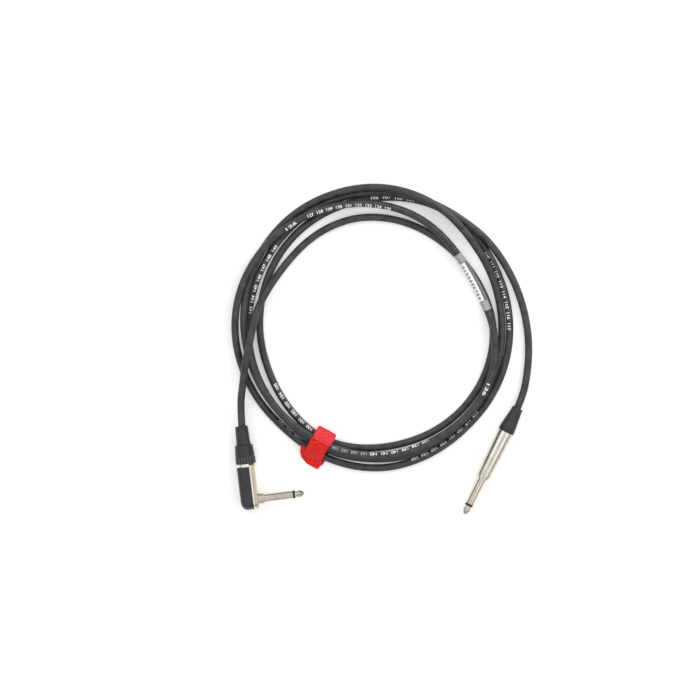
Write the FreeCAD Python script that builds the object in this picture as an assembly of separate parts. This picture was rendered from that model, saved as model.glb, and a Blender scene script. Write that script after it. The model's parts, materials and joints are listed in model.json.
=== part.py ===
import FreeCAD, Part
import math
import os

# Instrument cable, coiled and tied: a straight plug at one end, a right-angle plug at the other.
# Millimetres, +Z up, lying on the plane z = 0. Compass angles run clockwise from +Y, seen from above.
# The origin is under the middle of the box round the plugs, the label and the strap.

Vector = FreeCAD.Vector
UP = Vector(0, 0, 1)
ALONG = Vector(1, 0, 0)

# Cable
CABLE_RADIUS = 2.9
CORE_RADIUS = 1.5
CONDUCTOR_RADIUS = 0.5
SHIELD_TAIL_RADIUS = 0.55
CABLE_BORE_CLEARANCE = 0.1
FIT = 0.05
FACE_GAP = 0.1
WIRE_SEAT = 0.15
OVERCUT = 1.0

# Strap: a hook-and-loop band round the bundle. Its inside is an outline of reach and height,
# the height counted from the layer that lies on the floor.
STRAP_ANGLE = 208.6
STRAP_WIDTH = 18.0
STRAP_THICKNESS = 1.3
STRAP_ROOM = 0.4
STRAP_INSIDE = [(97.3, 0.0), (117.4, 0.0), (118.4, 1.9), (115.0, 7.1), (106.8, 13.2), (100.4, 13.2),
                (95.5, 8.3), (94.9, 3.0)]
STRAP_TAB_LENGTH = 6.0
STRAP_UNDER_WIDTH = 3.5
STRAP_UNDER_LENGTH = 12.0
FLAP_GAP = 0.3
FLAP_THICKNESS = 1.2
FLAP_TOP_LENGTH = 3.1
FLAP_FOOT_RISE = 0.9

# The coil: where the middle of the cable lies at each station, as compass angle counted on round
# the coil, reach from the coil's middle, and how far its underside is lifted off the floor.
# The strap ties the bundle at 208 degrees; each pass of that angle begins a new turn.
ON_STRAP = STRAP_THICKNESS + STRAP_ROOM
STATIONS = [
    (288, 95.4, 6.6), (328, 89.6, 0.1), (400, 80.3, 0.1), (490, 89.4, 0.1), (535, 94.2, 0.1),
    (568, 99.5, ON_STRAP), (610, 97.6, 0.1), (655, 98.4, 0.1), (708, 100.1, 0.1), (745, 103.3, 0.1),
    (790, 99.4, 0.1), (850, 103.0, 0.1), (890, 108.4, 0.1),
    (928, 112.8, ON_STRAP), (965, 115.6, 0.1), (1000, 117.2, 6.6), (1062, 100.6, 6.6), (1140, 79.4, 7.4),
    (1215, 95.6, 6.6),
    (1288, 103.7, ON_STRAP + 6.5), (1340, 109.0, 6.6), (1380, 112.8, 0.1), (1397, 113.7, 0.1),
    (1463, 104.7, 13.3), (1493, 95.8, 7.5), (1522, 92.4, 0.1), (1575, 96.8, 0.1), (1612, 100.9, 0.1),
    (1648, 106.0, ON_STRAP), (1690, 106.0, 0.1), (1735, 105.0, 0.1), (1773, 106.9, 0.1),
    (1813, 104.7, 6.5), (1835, 104.8, 6.5), (1872, 109.4, 0.1), (1888, 112.4, 0.1),
]
COIL_END_RUN = 6.0

# Free stretches between the coil and the plugs: points that the cable turns at
ANGLE_TAIL_POINTS = [(-112.3, -45.5, 11.6), (-109.2, -29.0, 16.4), (-104.6, -9.0, 16.4)]
STRAIGHT_TAIL_POINTS = [(115.0, -31.5, 3.7)]
EXIT_RUN = 17.0
ANGLE_TAIL_LAST_RUN = 16.0
STRAIGHT_TAIL_LAST_RUN = 12.5
ARC_SHARE = 0.45

# Where each plug lets the cable out, and the compass heading in which the cable leaves it
STRAIGHT_EXIT = (105.9, -64.6)
STRAIGHT_HEADING = 26.7
ANGLE_EXIT = (-111.5, -78.8)
ANGLE_HEADING = -7.0

# Plug pin, the same on both plugs
PIN_RADIUS = 3.175
PIN_LENGTH = 31.5
TIP_LENGTH = 7.6
TIP_RING_LENGTH = 1.2
TIP_NECK_BACK = 1.5
TIP_NECK_RADIUS = 2.3
TIP_HEAD_BACK = 3.8
TIP_HEAD_EDGE = 0.6
TIP_FOOT_RADIUS = 2.75
TIP_NOSE_LENGTH = 0.6
TIP_NOSE_RADIUS = 1.3
ROD_RADIUS = 1.25
ROD_TUBE_RADIUS = 2.15
LUG_THICKNESS = 0.5
TIP_TAB_WIDTH = 3.0
SOLDER_RADIUS = 1.3
GROUND_SOLDER_RADIUS = 1.0

# Chuck that grips the cable, the same in both plugs
CHUCK_RADIUS = 4.6
CHUCK_GRIP_LENGTH = 6.0
CHUCK_TAPER_LENGTH = 4.0
CHUCK_END_RADIUS = 3.4
CHUCK_SLOTS = 3
CHUCK_SLOT_WIDTH = 0.8
CONE_CLEARANCE = 0.08

# Straight plug, from the shoulder of its pin to the cable
STRAIGHT_COLLAR_LENGTH = 1.5
STRAIGHT_COLLAR_RADIUS = 4.4
STRAIGHT_SHANK_LENGTH = 7.5
STRAIGHT_SHANK_RADIUS = 4.0
STRAIGHT_WASHER_THICKNESS = 1.2
SHELL_LENGTH = 39.5
SHELL_FRONT_RADIUS = 5.3
SHELL_REAR_RADIUS = 6.1
SHELL_CHAMFER = 0.4
LINER_WALL = 0.5
BOOT_LENGTH = 21.0
BOOT_FRONT_RADIUS = 6.5
BOOT_REAR_RADIUS = 4.5
BOOT_EDGE = 0.5
SPIGOT_LENGTH = 3.5
CHUCK_AHEAD = 1.5
STRAIGHT_TAB_LENGTH = 6.8
STRAIGHT_CONDUCTOR_GAP = 1.0
STRAIGHT_CORE_GAP = 1.5
STRAIGHT_SHIELD_GAP = 4.3
LUG_STRIP_WIDTH = 4.0
CLAMP_LENGTH = 3.0
CLAMP_WRAP = 230.0
CLAMP_SETBACK = 1.2
JACKET_PAST_CLAMP = 0.8

# Right-angle plug, from its pin along the body to the cable
ANGLE_COLLAR_LENGTH = 5.0
ANGLE_COLLAR_ROOT_RADIUS = 4.5
ANGLE_COLLAR_RADIUS = 4.1
ANGLE_SHANK_RADIUS = 3.6
ANGLE_WASHER_THICKNESS = 0.85
ANGLE_WASHER_WALL = 0.8
PLATE_THICKNESS = 3.7
PLATE_CHAMFER = 0.5
BODY_RADIUS = 7.7
BODY_LENGTH = 26.0
COVER_DEPTH = 10.0
COVER_WALL = 1.3
COVER_CORNER = 5.2
NECK_COLLAR_RADIUS = 7.2
NECK_COLLAR_LENGTH = 2.3
NECK_RADIUS = 6.8
NECK_LENGTH = 8.1
CHUCK_SHELF = 0.8
CABLE_HOLE_RADIUS = 3.2
GLAND_NUT_LENGTH = 14.8
GLAND_NUT_FRONT_RADIUS = 7.75
GLAND_NUT_REAR_RADIUS = 7.3
RIB_GROOVES = 20
RIB_GROOVE_RADIUS = 0.5
RIB_GROOVE_LENGTH = 6.0
ANGLE_BOOT_LENGTH = 15.0
ANGLE_BOOT_FRONT_RADIUS = 5.5
ANGLE_BOOT_REAR_RADIUS = 4.95
ANGLE_BOOT_LIP = 0.3
ANGLE_BOOT_LIP_LENGTH = 1.2
BOOT_SPIGOT_RADIUS = 4.2
BOOT_SPIGOT_LENGTH = 2.9
ANGLE_JACKET_REACH = 9.3
ANGLE_CORE_GAP = 2.9
ANGLE_CONDUCTOR_START = 3.5
ANGLE_SHIELD_OVERLAP = 5.1
SHIELD_ROOT_RUN = 1.8
SHIELD_END_RUN = 4.0
ANGLE_TAB_LENGTH = 9.0
ANGLE_LUG_LENGTH = 16.0
ANGLE_LUG_OFFSET = 3.1
ANGLE_LUG_RADIUS = 4.6

# Label: a paper band under a clear tube, on the turn that lies on top there
LABEL_MIDDLE = 1144.0
SLEEVE_LENGTH = 49.5
PAPER_LENGTH = 33.5
PAPER_GAP = 0.1
PAPER_THICKNESS = 0.15
SLEEVE_WALL = 0.4


def compass(angle):
    """Unit vectors outward and onward (clockwise) at a compass angle in degrees."""
    turn = math.radians(angle)
    outward = Vector(math.sin(turn), math.cos(turn), 0)
    onward = Vector(math.cos(turn), -math.sin(turn), 0)
    return outward, onward


# Paths: arcs of circles, and straight runs joined by them

class Bow:
    """One arc, from a start point in a start direction to an end point."""

    def __init__(self, start, direction, end):
        chord = end - start
        half = chord.Length / 2
        chord_line = Vector(chord).normalize()
        side = direction - chord_line * direction.dot(chord_line)
        half_turn = math.asin(min(1.0, side.Length))
        side.normalize()
        self.radius = half / math.sin(half_turn)
        self.turn = 2 * half_turn
        self.centre = (start + end) * 0.5 - side * (self.radius * math.cos(half_turn))
        self.out = (start - self.centre) * (1 / self.radius)
        self.ahead = Vector(direction)
        self.length = self.radius * self.turn

    def point(self, share):
        angle = self.turn * share
        return self.centre + (self.out * math.cos(angle) + self.ahead * math.sin(angle)) * self.radius

    def heading(self, share):
        angle = self.turn * share
        return self.ahead * math.cos(angle) - self.out * math.sin(angle)

    def edge(self, first=0.0, last=1.0):
        middle = (first + last) / 2
        return Part.Arc(self.point(first), self.point(middle), self.point(last)).toShape()


def biarc(start, start_direction, end, end_direction):
    """Two arcs that leave the start and reach the end in the given directions."""
    gap = end - start
    both = start_direction + end_direction
    spread = 2 * (1 - start_direction.dot(end_direction))
    across = gap.dot(both)
    reach = (math.sqrt(across * across + spread * gap.dot(gap)) - across) / spread
    joint = (start + end + (start_direction - end_direction) * reach) * 0.5
    first = Bow(start, start_direction, joint)
    return [first, Bow(joint, first.heading(1.0), end)]


def steady_slopes(angles, values):
    """Slope at each station: level where the values turn back, else between its two neighbours'."""
    steps = [(values[i + 1] - values[i]) / (angles[i + 1] - angles[i]) for i in range(len(values) - 1)]
    slopes = [steps[0]]
    for before, after in zip(steps, steps[1:]):
        slopes.append(2 * before * after / (before + after) if before * after > 0 else 0.0)
    slopes.append(steps[-1])
    return slopes


def coil_bows():
    """The whole coil as arcs, two from each station to the next."""
    angles = [math.radians(station[0]) for station in STATIONS]
    reaches = [station[1] for station in STATIONS]
    heights = [station[2] + CABLE_RADIUS for station in STATIONS]
    spreads = steady_slopes(angles, reaches)
    climbs = steady_slopes(angles, heights)
    knots = []
    for station, reach, height, spread, climb in zip(STATIONS, reaches, heights, spreads, climbs):
        outward, onward = compass(station[0])
        direction = (outward * spread + onward * reach + UP * climb).normalize()
        knots.append((outward * reach + UP * height, direction))
    bows = []
    for (start, leaving), (end, arriving) in zip(knots, knots[1:]):
        bows += biarc(start, leaving, end, arriving)
    return bows


def run_edges(name, points):
    """Straight runs joined by arcs as large as the two runs allow."""
    edges = []
    samples = [points[0]]
    radii = []
    here = points[0]
    for before, corner, after in zip(points, points[1:], points[2:]):
        arriving = (corner - before).normalize()
        leaving = (after - corner).normalize()
        shorter = min((corner - before).Length, (after - corner).Length)
        back = ARC_SHARE * shorter
        arc = Bow(corner - arriving * back, arriving, corner + leaving * back)
        edges.append(Part.LineSegment(here, arc.point(0)).toShape())
        edges.append(arc.edge())
        samples += [arc.point(k / 4) for k in range(5)]
        radii.append(arc.radius)
        here = arc.point(1)
    edges.append(Part.LineSegment(here, points[-1]).toShape())
    samples.append(points[-1])
    runs = [(there - here).Length for here, there in zip(points, points[1:])]
    print(name, "runs", ", ".join("%.1f" % run for run in runs))
    print(name, "arc radii", ", ".join("%.1f" % radius for radius in radii))
    return edges, samples


def tube(edges, radius):
    """A round solid swept along joined edges."""
    path = Part.Wire(edges)
    start = path.OrderedEdges[0]
    direction = start.tangentAt(start.FirstParameter)
    section = Part.Wire([Part.makeCircle(radius, start.valueAt(start.FirstParameter), direction)])
    return path.makePipeShell([section], True, False)


def report_tube(name, solid, edges, radius):
    length = sum(edge.Length for edge in edges)
    share = solid.Volume / (math.pi * radius * radius * length)
    print("%s length %.1f, volume over section times length %.4f" % (name, length, share))


# Turned and cut shapes, built about the local X axis

def outline(start, *steps):
    """Edges in the plane of the axis: a step is (along, radius), or (via, end) for an arc."""
    edges = []
    here = Vector(start[0], 0, start[1])
    for step in steps:
        if isinstance(step[0], tuple):
            via = Vector(step[0][0], 0, step[0][1])
            end = Vector(step[1][0], 0, step[1][1])
            edges.append(Part.Arc(here, via, end).toShape())
        else:
            end = Vector(step[0], 0, step[1])
            edges.append(Part.LineSegment(here, end).toShape())
        here = end
    first = Vector(start[0], 0, start[1])
    edges.append(Part.LineSegment(here, first).toShape())
    return edges


def turned(start, *steps, wrap=360):
    face = Part.Face(Part.Wire(outline(start, *steps)))
    return face.revolve(Vector(0, 0, 0), ALONG, wrap)


def bar(front, rear, radius):
    """A round bar about the local X axis."""
    return Part.makeCylinder(radius, rear - front, Vector(front, 0, 0), ALONG)


def block(low, high):
    size = high - low
    return Part.makeBox(size.x, size.y, size.z, low)


# Plug pieces that both plugs have

def solder_bead(middle, radius, wire_radius):
    """A drop of solder round a wire that runs along the local X axis."""
    half = math.sqrt(radius ** 2 - wire_radius ** 2)
    return turned((middle - half, wire_radius), ((middle, radius), (middle + half, wire_radius)))


def pin_pieces(collar_length, collar_root_radius, collar_radius, shank_radius, shank_length, washer):
    """Tip with its rod, insulating ring and tube, and the sleeve with its shank. X = 0 is the shoulder."""
    tip_end = -PIN_LENGTH
    ring_front = tip_end + TIP_LENGTH
    sleeve_front = ring_front + TIP_RING_LENGTH
    sleeve_rear = collar_length + shank_length
    washer_rear = sleeve_rear + LUG_THICKNESS + washer
    rod_rear = washer_rear + LUG_THICKNESS
    neck = ring_front - TIP_NECK_BACK
    head = ring_front - TIP_HEAD_BACK
    nose = tip_end + TIP_NOSE_LENGTH
    nose_round = (tip_end + 0.3 * TIP_NOSE_LENGTH, 0.7 * TIP_NOSE_RADIUS)
    head_radius = PIN_RADIUS - FIT
    head_edge_radius = head_radius - FIT
    tip = turned((tip_end, 0), (nose_round, (nose, TIP_NOSE_RADIUS)),
                 (head - TIP_HEAD_EDGE, head_edge_radius),
                 ((head - TIP_HEAD_EDGE / 2, head_radius), (head, head_edge_radius)),
                 ((neck, TIP_NECK_RADIUS), (ring_front, TIP_FOOT_RADIUS)),
                 (ring_front, ROD_RADIUS), (rod_rear, ROD_RADIUS), (rod_rear, 0))
    bore = ROD_RADIUS + FIT
    ring = turned((ring_front, bore), (ring_front, PIN_RADIUS), (sleeve_front, PIN_RADIUS),
                  (sleeve_front, bore))
    rod_tube = turned((sleeve_front, bore), (sleeve_front, ROD_TUBE_RADIUS),
                      (washer_rear, ROD_TUBE_RADIUS), (washer_rear, bore))
    inside = ROD_TUBE_RADIUS + FIT
    sleeve = turned((sleeve_front, inside), (sleeve_front, PIN_RADIUS), (0, PIN_RADIUS), (0, collar_radius),
                    (collar_length, collar_root_radius), (collar_length, shank_radius),
                    (sleeve_rear, shank_radius), (sleeve_rear, inside))
    return tip, ring, rod_tube, sleeve


def chuck(front, shoulder):
    """The split collet: a grip ring, then fingers that taper to the rear."""
    bore = CABLE_RADIUS + FIT
    rear = shoulder + CHUCK_TAPER_LENGTH
    solid = turned((front, bore), (front, CHUCK_RADIUS), (shoulder, CHUCK_RADIUS),
                   (rear, CHUCK_END_RADIUS), (rear, bore))
    for number in range(CHUCK_SLOTS):
        slot = block(Vector(shoulder, 0, -CHUCK_SLOT_WIDTH / 2),
                     Vector(rear + OVERCUT, CHUCK_RADIUS + OVERCUT, CHUCK_SLOT_WIDTH / 2))
        slot.rotate(Vector(0, 0, 0), ALONG, 360 * number / CHUCK_SLOTS)
        solid = solid.cut(slot)
    return solid


def cone_radius(shoulder, along):
    """Radius of the seat that presses the chuck's fingers, a little wider than they are."""
    share = (along - shoulder) / CHUCK_TAPER_LENGTH
    return CHUCK_RADIUS + (CHUCK_END_RADIUS - CHUCK_RADIUS) * share + CONE_CLEARANCE


# Straight plug, X from the pin's shoulder to the cable

def straight_plug():
    seat = STRAIGHT_COLLAR_LENGTH + SHELL_LENGTH
    sleeve_rear = STRAIGHT_COLLAR_LENGTH + STRAIGHT_SHANK_LENGTH
    tip, ring, rod_tube, sleeve = pin_pieces(STRAIGHT_COLLAR_LENGTH, STRAIGHT_COLLAR_RADIUS,
                                             STRAIGHT_COLLAR_RADIUS, STRAIGHT_SHANK_RADIUS,
                                             STRAIGHT_SHANK_LENGTH, STRAIGHT_WASHER_THICKNESS)
    shell_bore = CHUCK_RADIUS + FIT
    front_bore = STRAIGHT_SHANK_RADIUS + FIT
    front = STRAIGHT_COLLAR_LENGTH
    shell = turned((front, front_bore), (front, SHELL_FRONT_RADIUS - SHELL_CHAMFER),
                   (front + SHELL_CHAMFER, SHELL_FRONT_RADIUS), (seat - SHELL_CHAMFER, SHELL_REAR_RADIUS),
                   (seat, SHELL_REAR_RADIUS - SHELL_CHAMFER), (seat, shell_bore), (sleeve_rear, shell_bore),
                   (sleeve_rear, front_bore))

    chuck_shoulder = seat - SPIGOT_LENGTH - CHUCK_AHEAD
    chuck_front = chuck_shoulder - CHUCK_GRIP_LENGTH
    collet = chuck(chuck_front, chuck_shoulder)
    clamp_rear = chuck_front - CLAMP_SETBACK
    clamp_front = clamp_rear - CLAMP_LENGTH
    jacket_end = clamp_front - JACKET_PAST_CLAMP

    strip_inside = CABLE_RADIUS + FIT
    strip_outside = strip_inside + LUG_THICKNESS
    lug_rear = sleeve_rear + LUG_THICKNESS
    washer_rear = lug_rear + STRAIGHT_WASHER_THICKNESS
    terminal_rear = washer_rear + LUG_THICKNESS
    tube_way = ROD_TUBE_RADIUS + FIT
    lug = turned((sleeve_rear, tube_way), (sleeve_rear, strip_outside), (lug_rear, strip_outside),
                 (lug_rear, tube_way))
    clamp = turned((clamp_front, strip_inside), (clamp_front, strip_outside), (clamp_rear, strip_outside),
                   (clamp_rear, strip_inside), wrap=CLAMP_WRAP)
    clamp.rotate(Vector(0, 0, 0), ALONG, 180 - CLAMP_WRAP / 2)
    strip_wrap = 2 * math.degrees(math.asin(LUG_STRIP_WIDTH / 2 / strip_outside))
    strip = turned((sleeve_rear, strip_inside), (sleeve_rear, strip_outside), (clamp_rear, strip_outside),
                   (clamp_rear, strip_inside), wrap=strip_wrap)
    strip.rotate(Vector(0, 0, 0), ALONG, 180 - strip_wrap / 2)
    ground_lug = lug.fuse([strip, clamp]).removeSplitter()

    washer_radius = strip_inside - FACE_GAP
    washer = turned((lug_rear, tube_way), (lug_rear, washer_radius), (washer_rear, washer_radius),
                    (washer_rear, tube_way))
    rod_way = ROD_RADIUS + FIT
    tab_inside = CONDUCTOR_RADIUS + WIRE_SEAT
    tab_rear = terminal_rear + STRAIGHT_TAB_LENGTH
    tab = block(Vector(washer_rear, -TIP_TAB_WIDTH / 2, tab_inside),
                Vector(tab_rear, TIP_TAB_WIDTH / 2, tab_inside + LUG_THICKNESS))
    terminal = turned((washer_rear, rod_way), (washer_rear, washer_radius), (terminal_rear, washer_radius),
                      (terminal_rear, rod_way))
    terminal = terminal.fuse(tab.cut(bar(washer_rear, terminal_rear, rod_way))).removeSplitter()

    core_end = tab_rear + STRAIGHT_CORE_GAP
    core = bar(core_end, jacket_end, CORE_RADIUS)
    conductor = bar(terminal_rear + STRAIGHT_CONDUCTOR_GAP, core_end, CONDUCTOR_RADIUS)
    shield_height = -(strip_inside - WIRE_SEAT - SHIELD_TAIL_RADIUS)
    shield_end = terminal_rear + STRAIGHT_SHIELD_GAP
    shield = bar(shield_end, jacket_end, SHIELD_TAIL_RADIUS)
    shield.translate(UP * shield_height)
    tip_solder = solder_bead(terminal_rear + STRAIGHT_TAB_LENGTH / 2, SOLDER_RADIUS, CONDUCTOR_RADIUS)
    above_tab = block(Vector(washer_rear, -2 * SOLDER_RADIUS, tab_inside),
                      Vector(jacket_end, 2 * SOLDER_RADIUS, 2 * SOLDER_RADIUS))
    tip_solder = tip_solder.cut(above_tab)
    ground_solder = solder_bead(shield_end + GROUND_SOLDER_RADIUS, GROUND_SOLDER_RADIUS, SHIELD_TAIL_RADIUS)
    ground_solder.translate(UP * shield_height)
    ground_solder = ground_solder.cut(ground_lug)

    liner_front = sleeve_rear + FACE_GAP
    liner = turned((liner_front, shell_bore - FIT - LINER_WALL), (liner_front, shell_bore - FIT),
                   (chuck_front - FACE_GAP, shell_bore - FIT),
                   (chuck_front - FACE_GAP, shell_bore - FIT - LINER_WALL))

    bore = CABLE_RADIUS + CABLE_BORE_CLEARANCE
    spigot_front = seat - SPIGOT_LENGTH
    cone_rear = chuck_shoulder + CHUCK_TAPER_LENGTH
    rear = seat + BOOT_LENGTH
    boot = turned((spigot_front, cone_radius(chuck_shoulder, spigot_front)), (spigot_front, CHUCK_RADIUS),
                  (seat + FACE_GAP, CHUCK_RADIUS), (seat + FACE_GAP, BOOT_FRONT_RADIUS - BOOT_EDGE / 2),
                  (seat + FACE_GAP + BOOT_EDGE / 2, BOOT_FRONT_RADIUS), (rear - BOOT_EDGE, BOOT_REAR_RADIUS),
                  (rear, BOOT_REAR_RADIUS - BOOT_EDGE), (rear, bore), (cone_rear + FACE_GAP, bore),
                  (cone_rear + FACE_GAP, cone_radius(chuck_shoulder, cone_rear)),
                  (cone_rear, cone_radius(chuck_shoulder, cone_rear)))
    return {
        "straight_tip": tip, "straight_tip_ring": ring, "straight_rod_tube": rod_tube,
        "straight_sleeve": sleeve, "straight_shell": shell, "straight_ground_lug": ground_lug,
        "straight_washer": washer, "straight_tip_terminal": terminal, "straight_core": core,
        "straight_conductor": conductor, "straight_shield_tail": shield,
        "straight_tip_solder": tip_solder, "straight_ground_solder": ground_solder,
        "straight_liner": liner, "straight_chuck": collet, "straight_boot": boot,
    }, jacket_end


# Right-angle plug, X from its pin's axis to the cable, the pin pointing along -Y

def rounded_body(radius, near, far, corner, length):
    """A body with a half-round end about the pin's axis, its far edge rounded all the way."""
    slope = corner * (1 - math.sqrt(0.5))
    near_middle = Vector(0, near, 0)
    near_side = Vector(radius, near, 0)
    far_side = Vector(radius, far - corner, 0)
    far_edge = Vector(radius - slope, far - slope, 0)
    far_top = Vector(radius - corner, far, 0)
    far_middle = Vector(0, far, 0)
    half = Part.Face(Part.Wire([
        Part.LineSegment(near_middle, near_side).toShape(), Part.LineSegment(near_side, far_side).toShape(),
        Part.Arc(far_side, far_edge, far_top).toShape(), Part.LineSegment(far_top, far_middle).toShape(),
        Part.LineSegment(far_middle, near_middle).toShape()]))
    axis = Vector(0, 1, 0)
    upper = half.copy()
    upper.rotate(Vector(0, 0, 0), axis, -90)
    half.rotate(Vector(0, 0, 0), axis, 90)
    round_end = half.revolve(Vector(0, 0, 0), axis, 180)
    straight = upper.extrude(ALONG * length).fuse(half.extrude(ALONG * length))
    return round_end.fuse(straight).removeSplitter()


def angle_plug():
    terminal_face = CONDUCTOR_RADIUS + WIRE_SEAT
    washer_face = terminal_face + LUG_THICKNESS
    lug_face = washer_face + ANGLE_WASHER_THICKNESS
    plate_inside = lug_face + LUG_THICKNESS
    plate_outside = plate_inside + PLATE_THICKNESS
    shoulder = plate_outside + ANGLE_COLLAR_LENGTH
    pieces = pin_pieces(ANGLE_COLLAR_LENGTH, ANGLE_COLLAR_ROOT_RADIUS, ANGLE_COLLAR_RADIUS,
                        ANGLE_SHANK_RADIUS, PLATE_THICKNESS, ANGLE_WASHER_THICKNESS)
    for piece in pieces:
        piece.rotate(Vector(0, 0, 0), UP, 90)
        piece.translate(Vector(0, -shoulder, 0))
    tip, ring, rod_tube, sleeve = pieces

    neck_front = BODY_LENGTH + FACE_GAP
    seat = neck_front + NECK_COLLAR_LENGTH + NECK_LENGTH
    bore_front = neck_front + NECK_COLLAR_LENGTH + CHUCK_SHELF
    plate_end = neck_front + NECK_COLLAR_LENGTH / 2
    plate = rounded_body(BODY_RADIUS, 0, PLATE_THICKNESS, PLATE_CHAMFER, plate_end)
    plate.rotate(Vector(0, 0, 0), ALONG, 180)
    plate.translate(Vector(0, -plate_inside, 0))
    neck = bar(neck_front, neck_front + NECK_COLLAR_LENGTH, NECK_COLLAR_RADIUS)
    neck = neck.fuse(bar(neck_front, seat, NECK_RADIUS))
    pin_hole = Part.makeCylinder(ANGLE_SHANK_RADIUS + FIT, 2 * PLATE_THICKNESS,
                                 Vector(0, -plate_outside - PLATE_THICKNESS / 2, 0), Vector(0, 1, 0))
    jacket_end = bore_front - ANGLE_JACKET_REACH
    cable_way = bar(jacket_end - FACE_GAP, bore_front, CABLE_HOLE_RADIUS)
    chuck_way = bar(bore_front, seat + OVERCUT, CHUCK_RADIUS + FIT)
    housing = plate.fuse(neck).cut([pin_hole, cable_way, chuck_way]).removeSplitter()

    cover = rounded_body(BODY_RADIUS, 0, COVER_DEPTH, COVER_CORNER, BODY_LENGTH)
    pocket = rounded_body(BODY_RADIUS - COVER_WALL, -OVERCUT, COVER_DEPTH - COVER_WALL,
                          COVER_CORNER - COVER_WALL, BODY_LENGTH - COVER_WALL)
    for solid in (cover, pocket):
        solid.translate(Vector(0, -plate_inside + FIT, 0))
    cover = cover.cut([pocket, bar(0, BODY_LENGTH + OVERCUT, CABLE_HOLE_RADIUS)])

    strip_inside = -lug_face
    lug = Part.makeCylinder(ANGLE_LUG_RADIUS, LUG_THICKNESS, Vector(0, -plate_inside, 0), Vector(0, 1, 0))
    strip = block(Vector(0, -plate_inside, -ANGLE_LUG_OFFSET - TIP_TAB_WIDTH / 2),
                  Vector(ANGLE_LUG_LENGTH, strip_inside, -ANGLE_LUG_OFFSET + TIP_TAB_WIDTH / 2))
    tube_way = Part.makeCylinder(ROD_TUBE_RADIUS + FIT, 2 * plate_inside, Vector(0, -2 * plate_inside, 0),
                                 Vector(0, 1, 0))
    ground_lug = lug.fuse(strip).removeSplitter().cut(tube_way)
    washer_radius = ROD_TUBE_RADIUS + ANGLE_WASHER_WALL
    washer = Part.makeCylinder(washer_radius, ANGLE_WASHER_THICKNESS, Vector(0, -lug_face, 0),
                               Vector(0, 1, 0))
    washer = washer.cut(tube_way)
    terminal = Part.makeCylinder(washer_radius - FACE_GAP, LUG_THICKNESS, Vector(0, -washer_face, 0),
                                 Vector(0, 1, 0))
    tab = block(Vector(0, -washer_face, -TIP_TAB_WIDTH / 2),
                Vector(ANGLE_TAB_LENGTH, -terminal_face, TIP_TAB_WIDTH / 2))
    rod_way = Part.makeCylinder(ROD_RADIUS + FIT, 2 * plate_inside, Vector(0, -2 * plate_inside, 0),
                                Vector(0, 1, 0))
    terminal = terminal.fuse(tab).removeSplitter().cut(rod_way)

    core_end = ANGLE_TAB_LENGTH + ANGLE_CORE_GAP
    core = bar(core_end, jacket_end, CORE_RADIUS)
    conductor = bar(ANGLE_CONDUCTOR_START, core_end, CONDUCTOR_RADIUS)
    shield_side = strip_inside + WIRE_SEAT + SHIELD_TAIL_RADIUS
    shield_end = ANGLE_LUG_LENGTH - ANGLE_SHIELD_OVERLAP
    root_height = -(CORE_RADIUS + SHIELD_TAIL_RADIUS + FIT)
    route = [Vector(jacket_end, 0, root_height), Vector(jacket_end - SHIELD_ROOT_RUN, 0, root_height),
             Vector(shield_end + SHIELD_END_RUN, shield_side, -ANGLE_LUG_OFFSET),
             Vector(shield_end, shield_side, -ANGLE_LUG_OFFSET)]
    shield = tube(run_edges("angle_shield_tail", route)[0], SHIELD_TAIL_RADIUS)
    solder_along = (ANGLE_CONDUCTOR_START + ANGLE_TAB_LENGTH) / 2
    tip_solder = solder_bead(solder_along, SOLDER_RADIUS, CONDUCTOR_RADIUS)
    behind_tab = block(Vector(0, -2 * SOLDER_RADIUS, -2 * SOLDER_RADIUS),
                       Vector(core_end, -terminal_face, 2 * SOLDER_RADIUS))
    tip_solder = tip_solder.cut(behind_tab)
    ground_solder = solder_bead(GROUND_SOLDER_RADIUS, GROUND_SOLDER_RADIUS, SHIELD_TAIL_RADIUS)
    ground_solder.translate(route[-1])
    ground_solder = ground_solder.cut(ground_lug)

    chuck_front = bore_front + FACE_GAP
    chuck_shoulder = chuck_front + CHUCK_GRIP_LENGTH
    collet = chuck(chuck_front, chuck_shoulder)
    nut_front = neck_front + NECK_COLLAR_LENGTH + FACE_GAP
    nut_rear = nut_front + GLAND_NUT_LENGTH
    cone_front = seat + FACE_GAP
    cone_rear = chuck_shoulder + CHUCK_TAPER_LENGTH
    bore = CABLE_RADIUS + CABLE_BORE_CLEARANCE
    recess = nut_rear - BOOT_SPIGOT_LENGTH - FACE_GAP
    nut = turned((nut_front, NECK_RADIUS + FIT), (nut_front, GLAND_NUT_FRONT_RADIUS - BOOT_EDGE / 2),
                 (nut_front + BOOT_EDGE / 2, GLAND_NUT_FRONT_RADIUS),
                 (nut_rear - BOOT_EDGE, GLAND_NUT_REAR_RADIUS), (nut_rear, GLAND_NUT_REAR_RADIUS - BOOT_EDGE),
                 (nut_rear, BOOT_SPIGOT_RADIUS + FIT), (recess, BOOT_SPIGOT_RADIUS + FIT), (recess, bore),
                 (cone_rear + FACE_GAP, bore), (cone_rear + FACE_GAP, cone_radius(chuck_shoulder, cone_rear)),
                 (cone_rear, cone_radius(chuck_shoulder, cone_rear)),
                 (cone_front, cone_radius(chuck_shoulder, cone_front)), (cone_front, NECK_RADIUS + FIT))
    grooves = []
    for number in range(RIB_GROOVES):
        groove = Part.makeCylinder(RIB_GROOVE_RADIUS, RIB_GROOVE_LENGTH + OVERCUT,
                                   Vector(nut_front - OVERCUT, 0, GLAND_NUT_FRONT_RADIUS), ALONG)
        groove.rotate(Vector(0, 0, 0), ALONG, 360 * (number + 0.5) / RIB_GROOVES)
        grooves.append(groove)
    nut = nut.cut(grooves)
    rear = nut_rear + ANGLE_BOOT_LENGTH
    lip = ANGLE_BOOT_FRONT_RADIUS + ANGLE_BOOT_LIP
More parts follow.
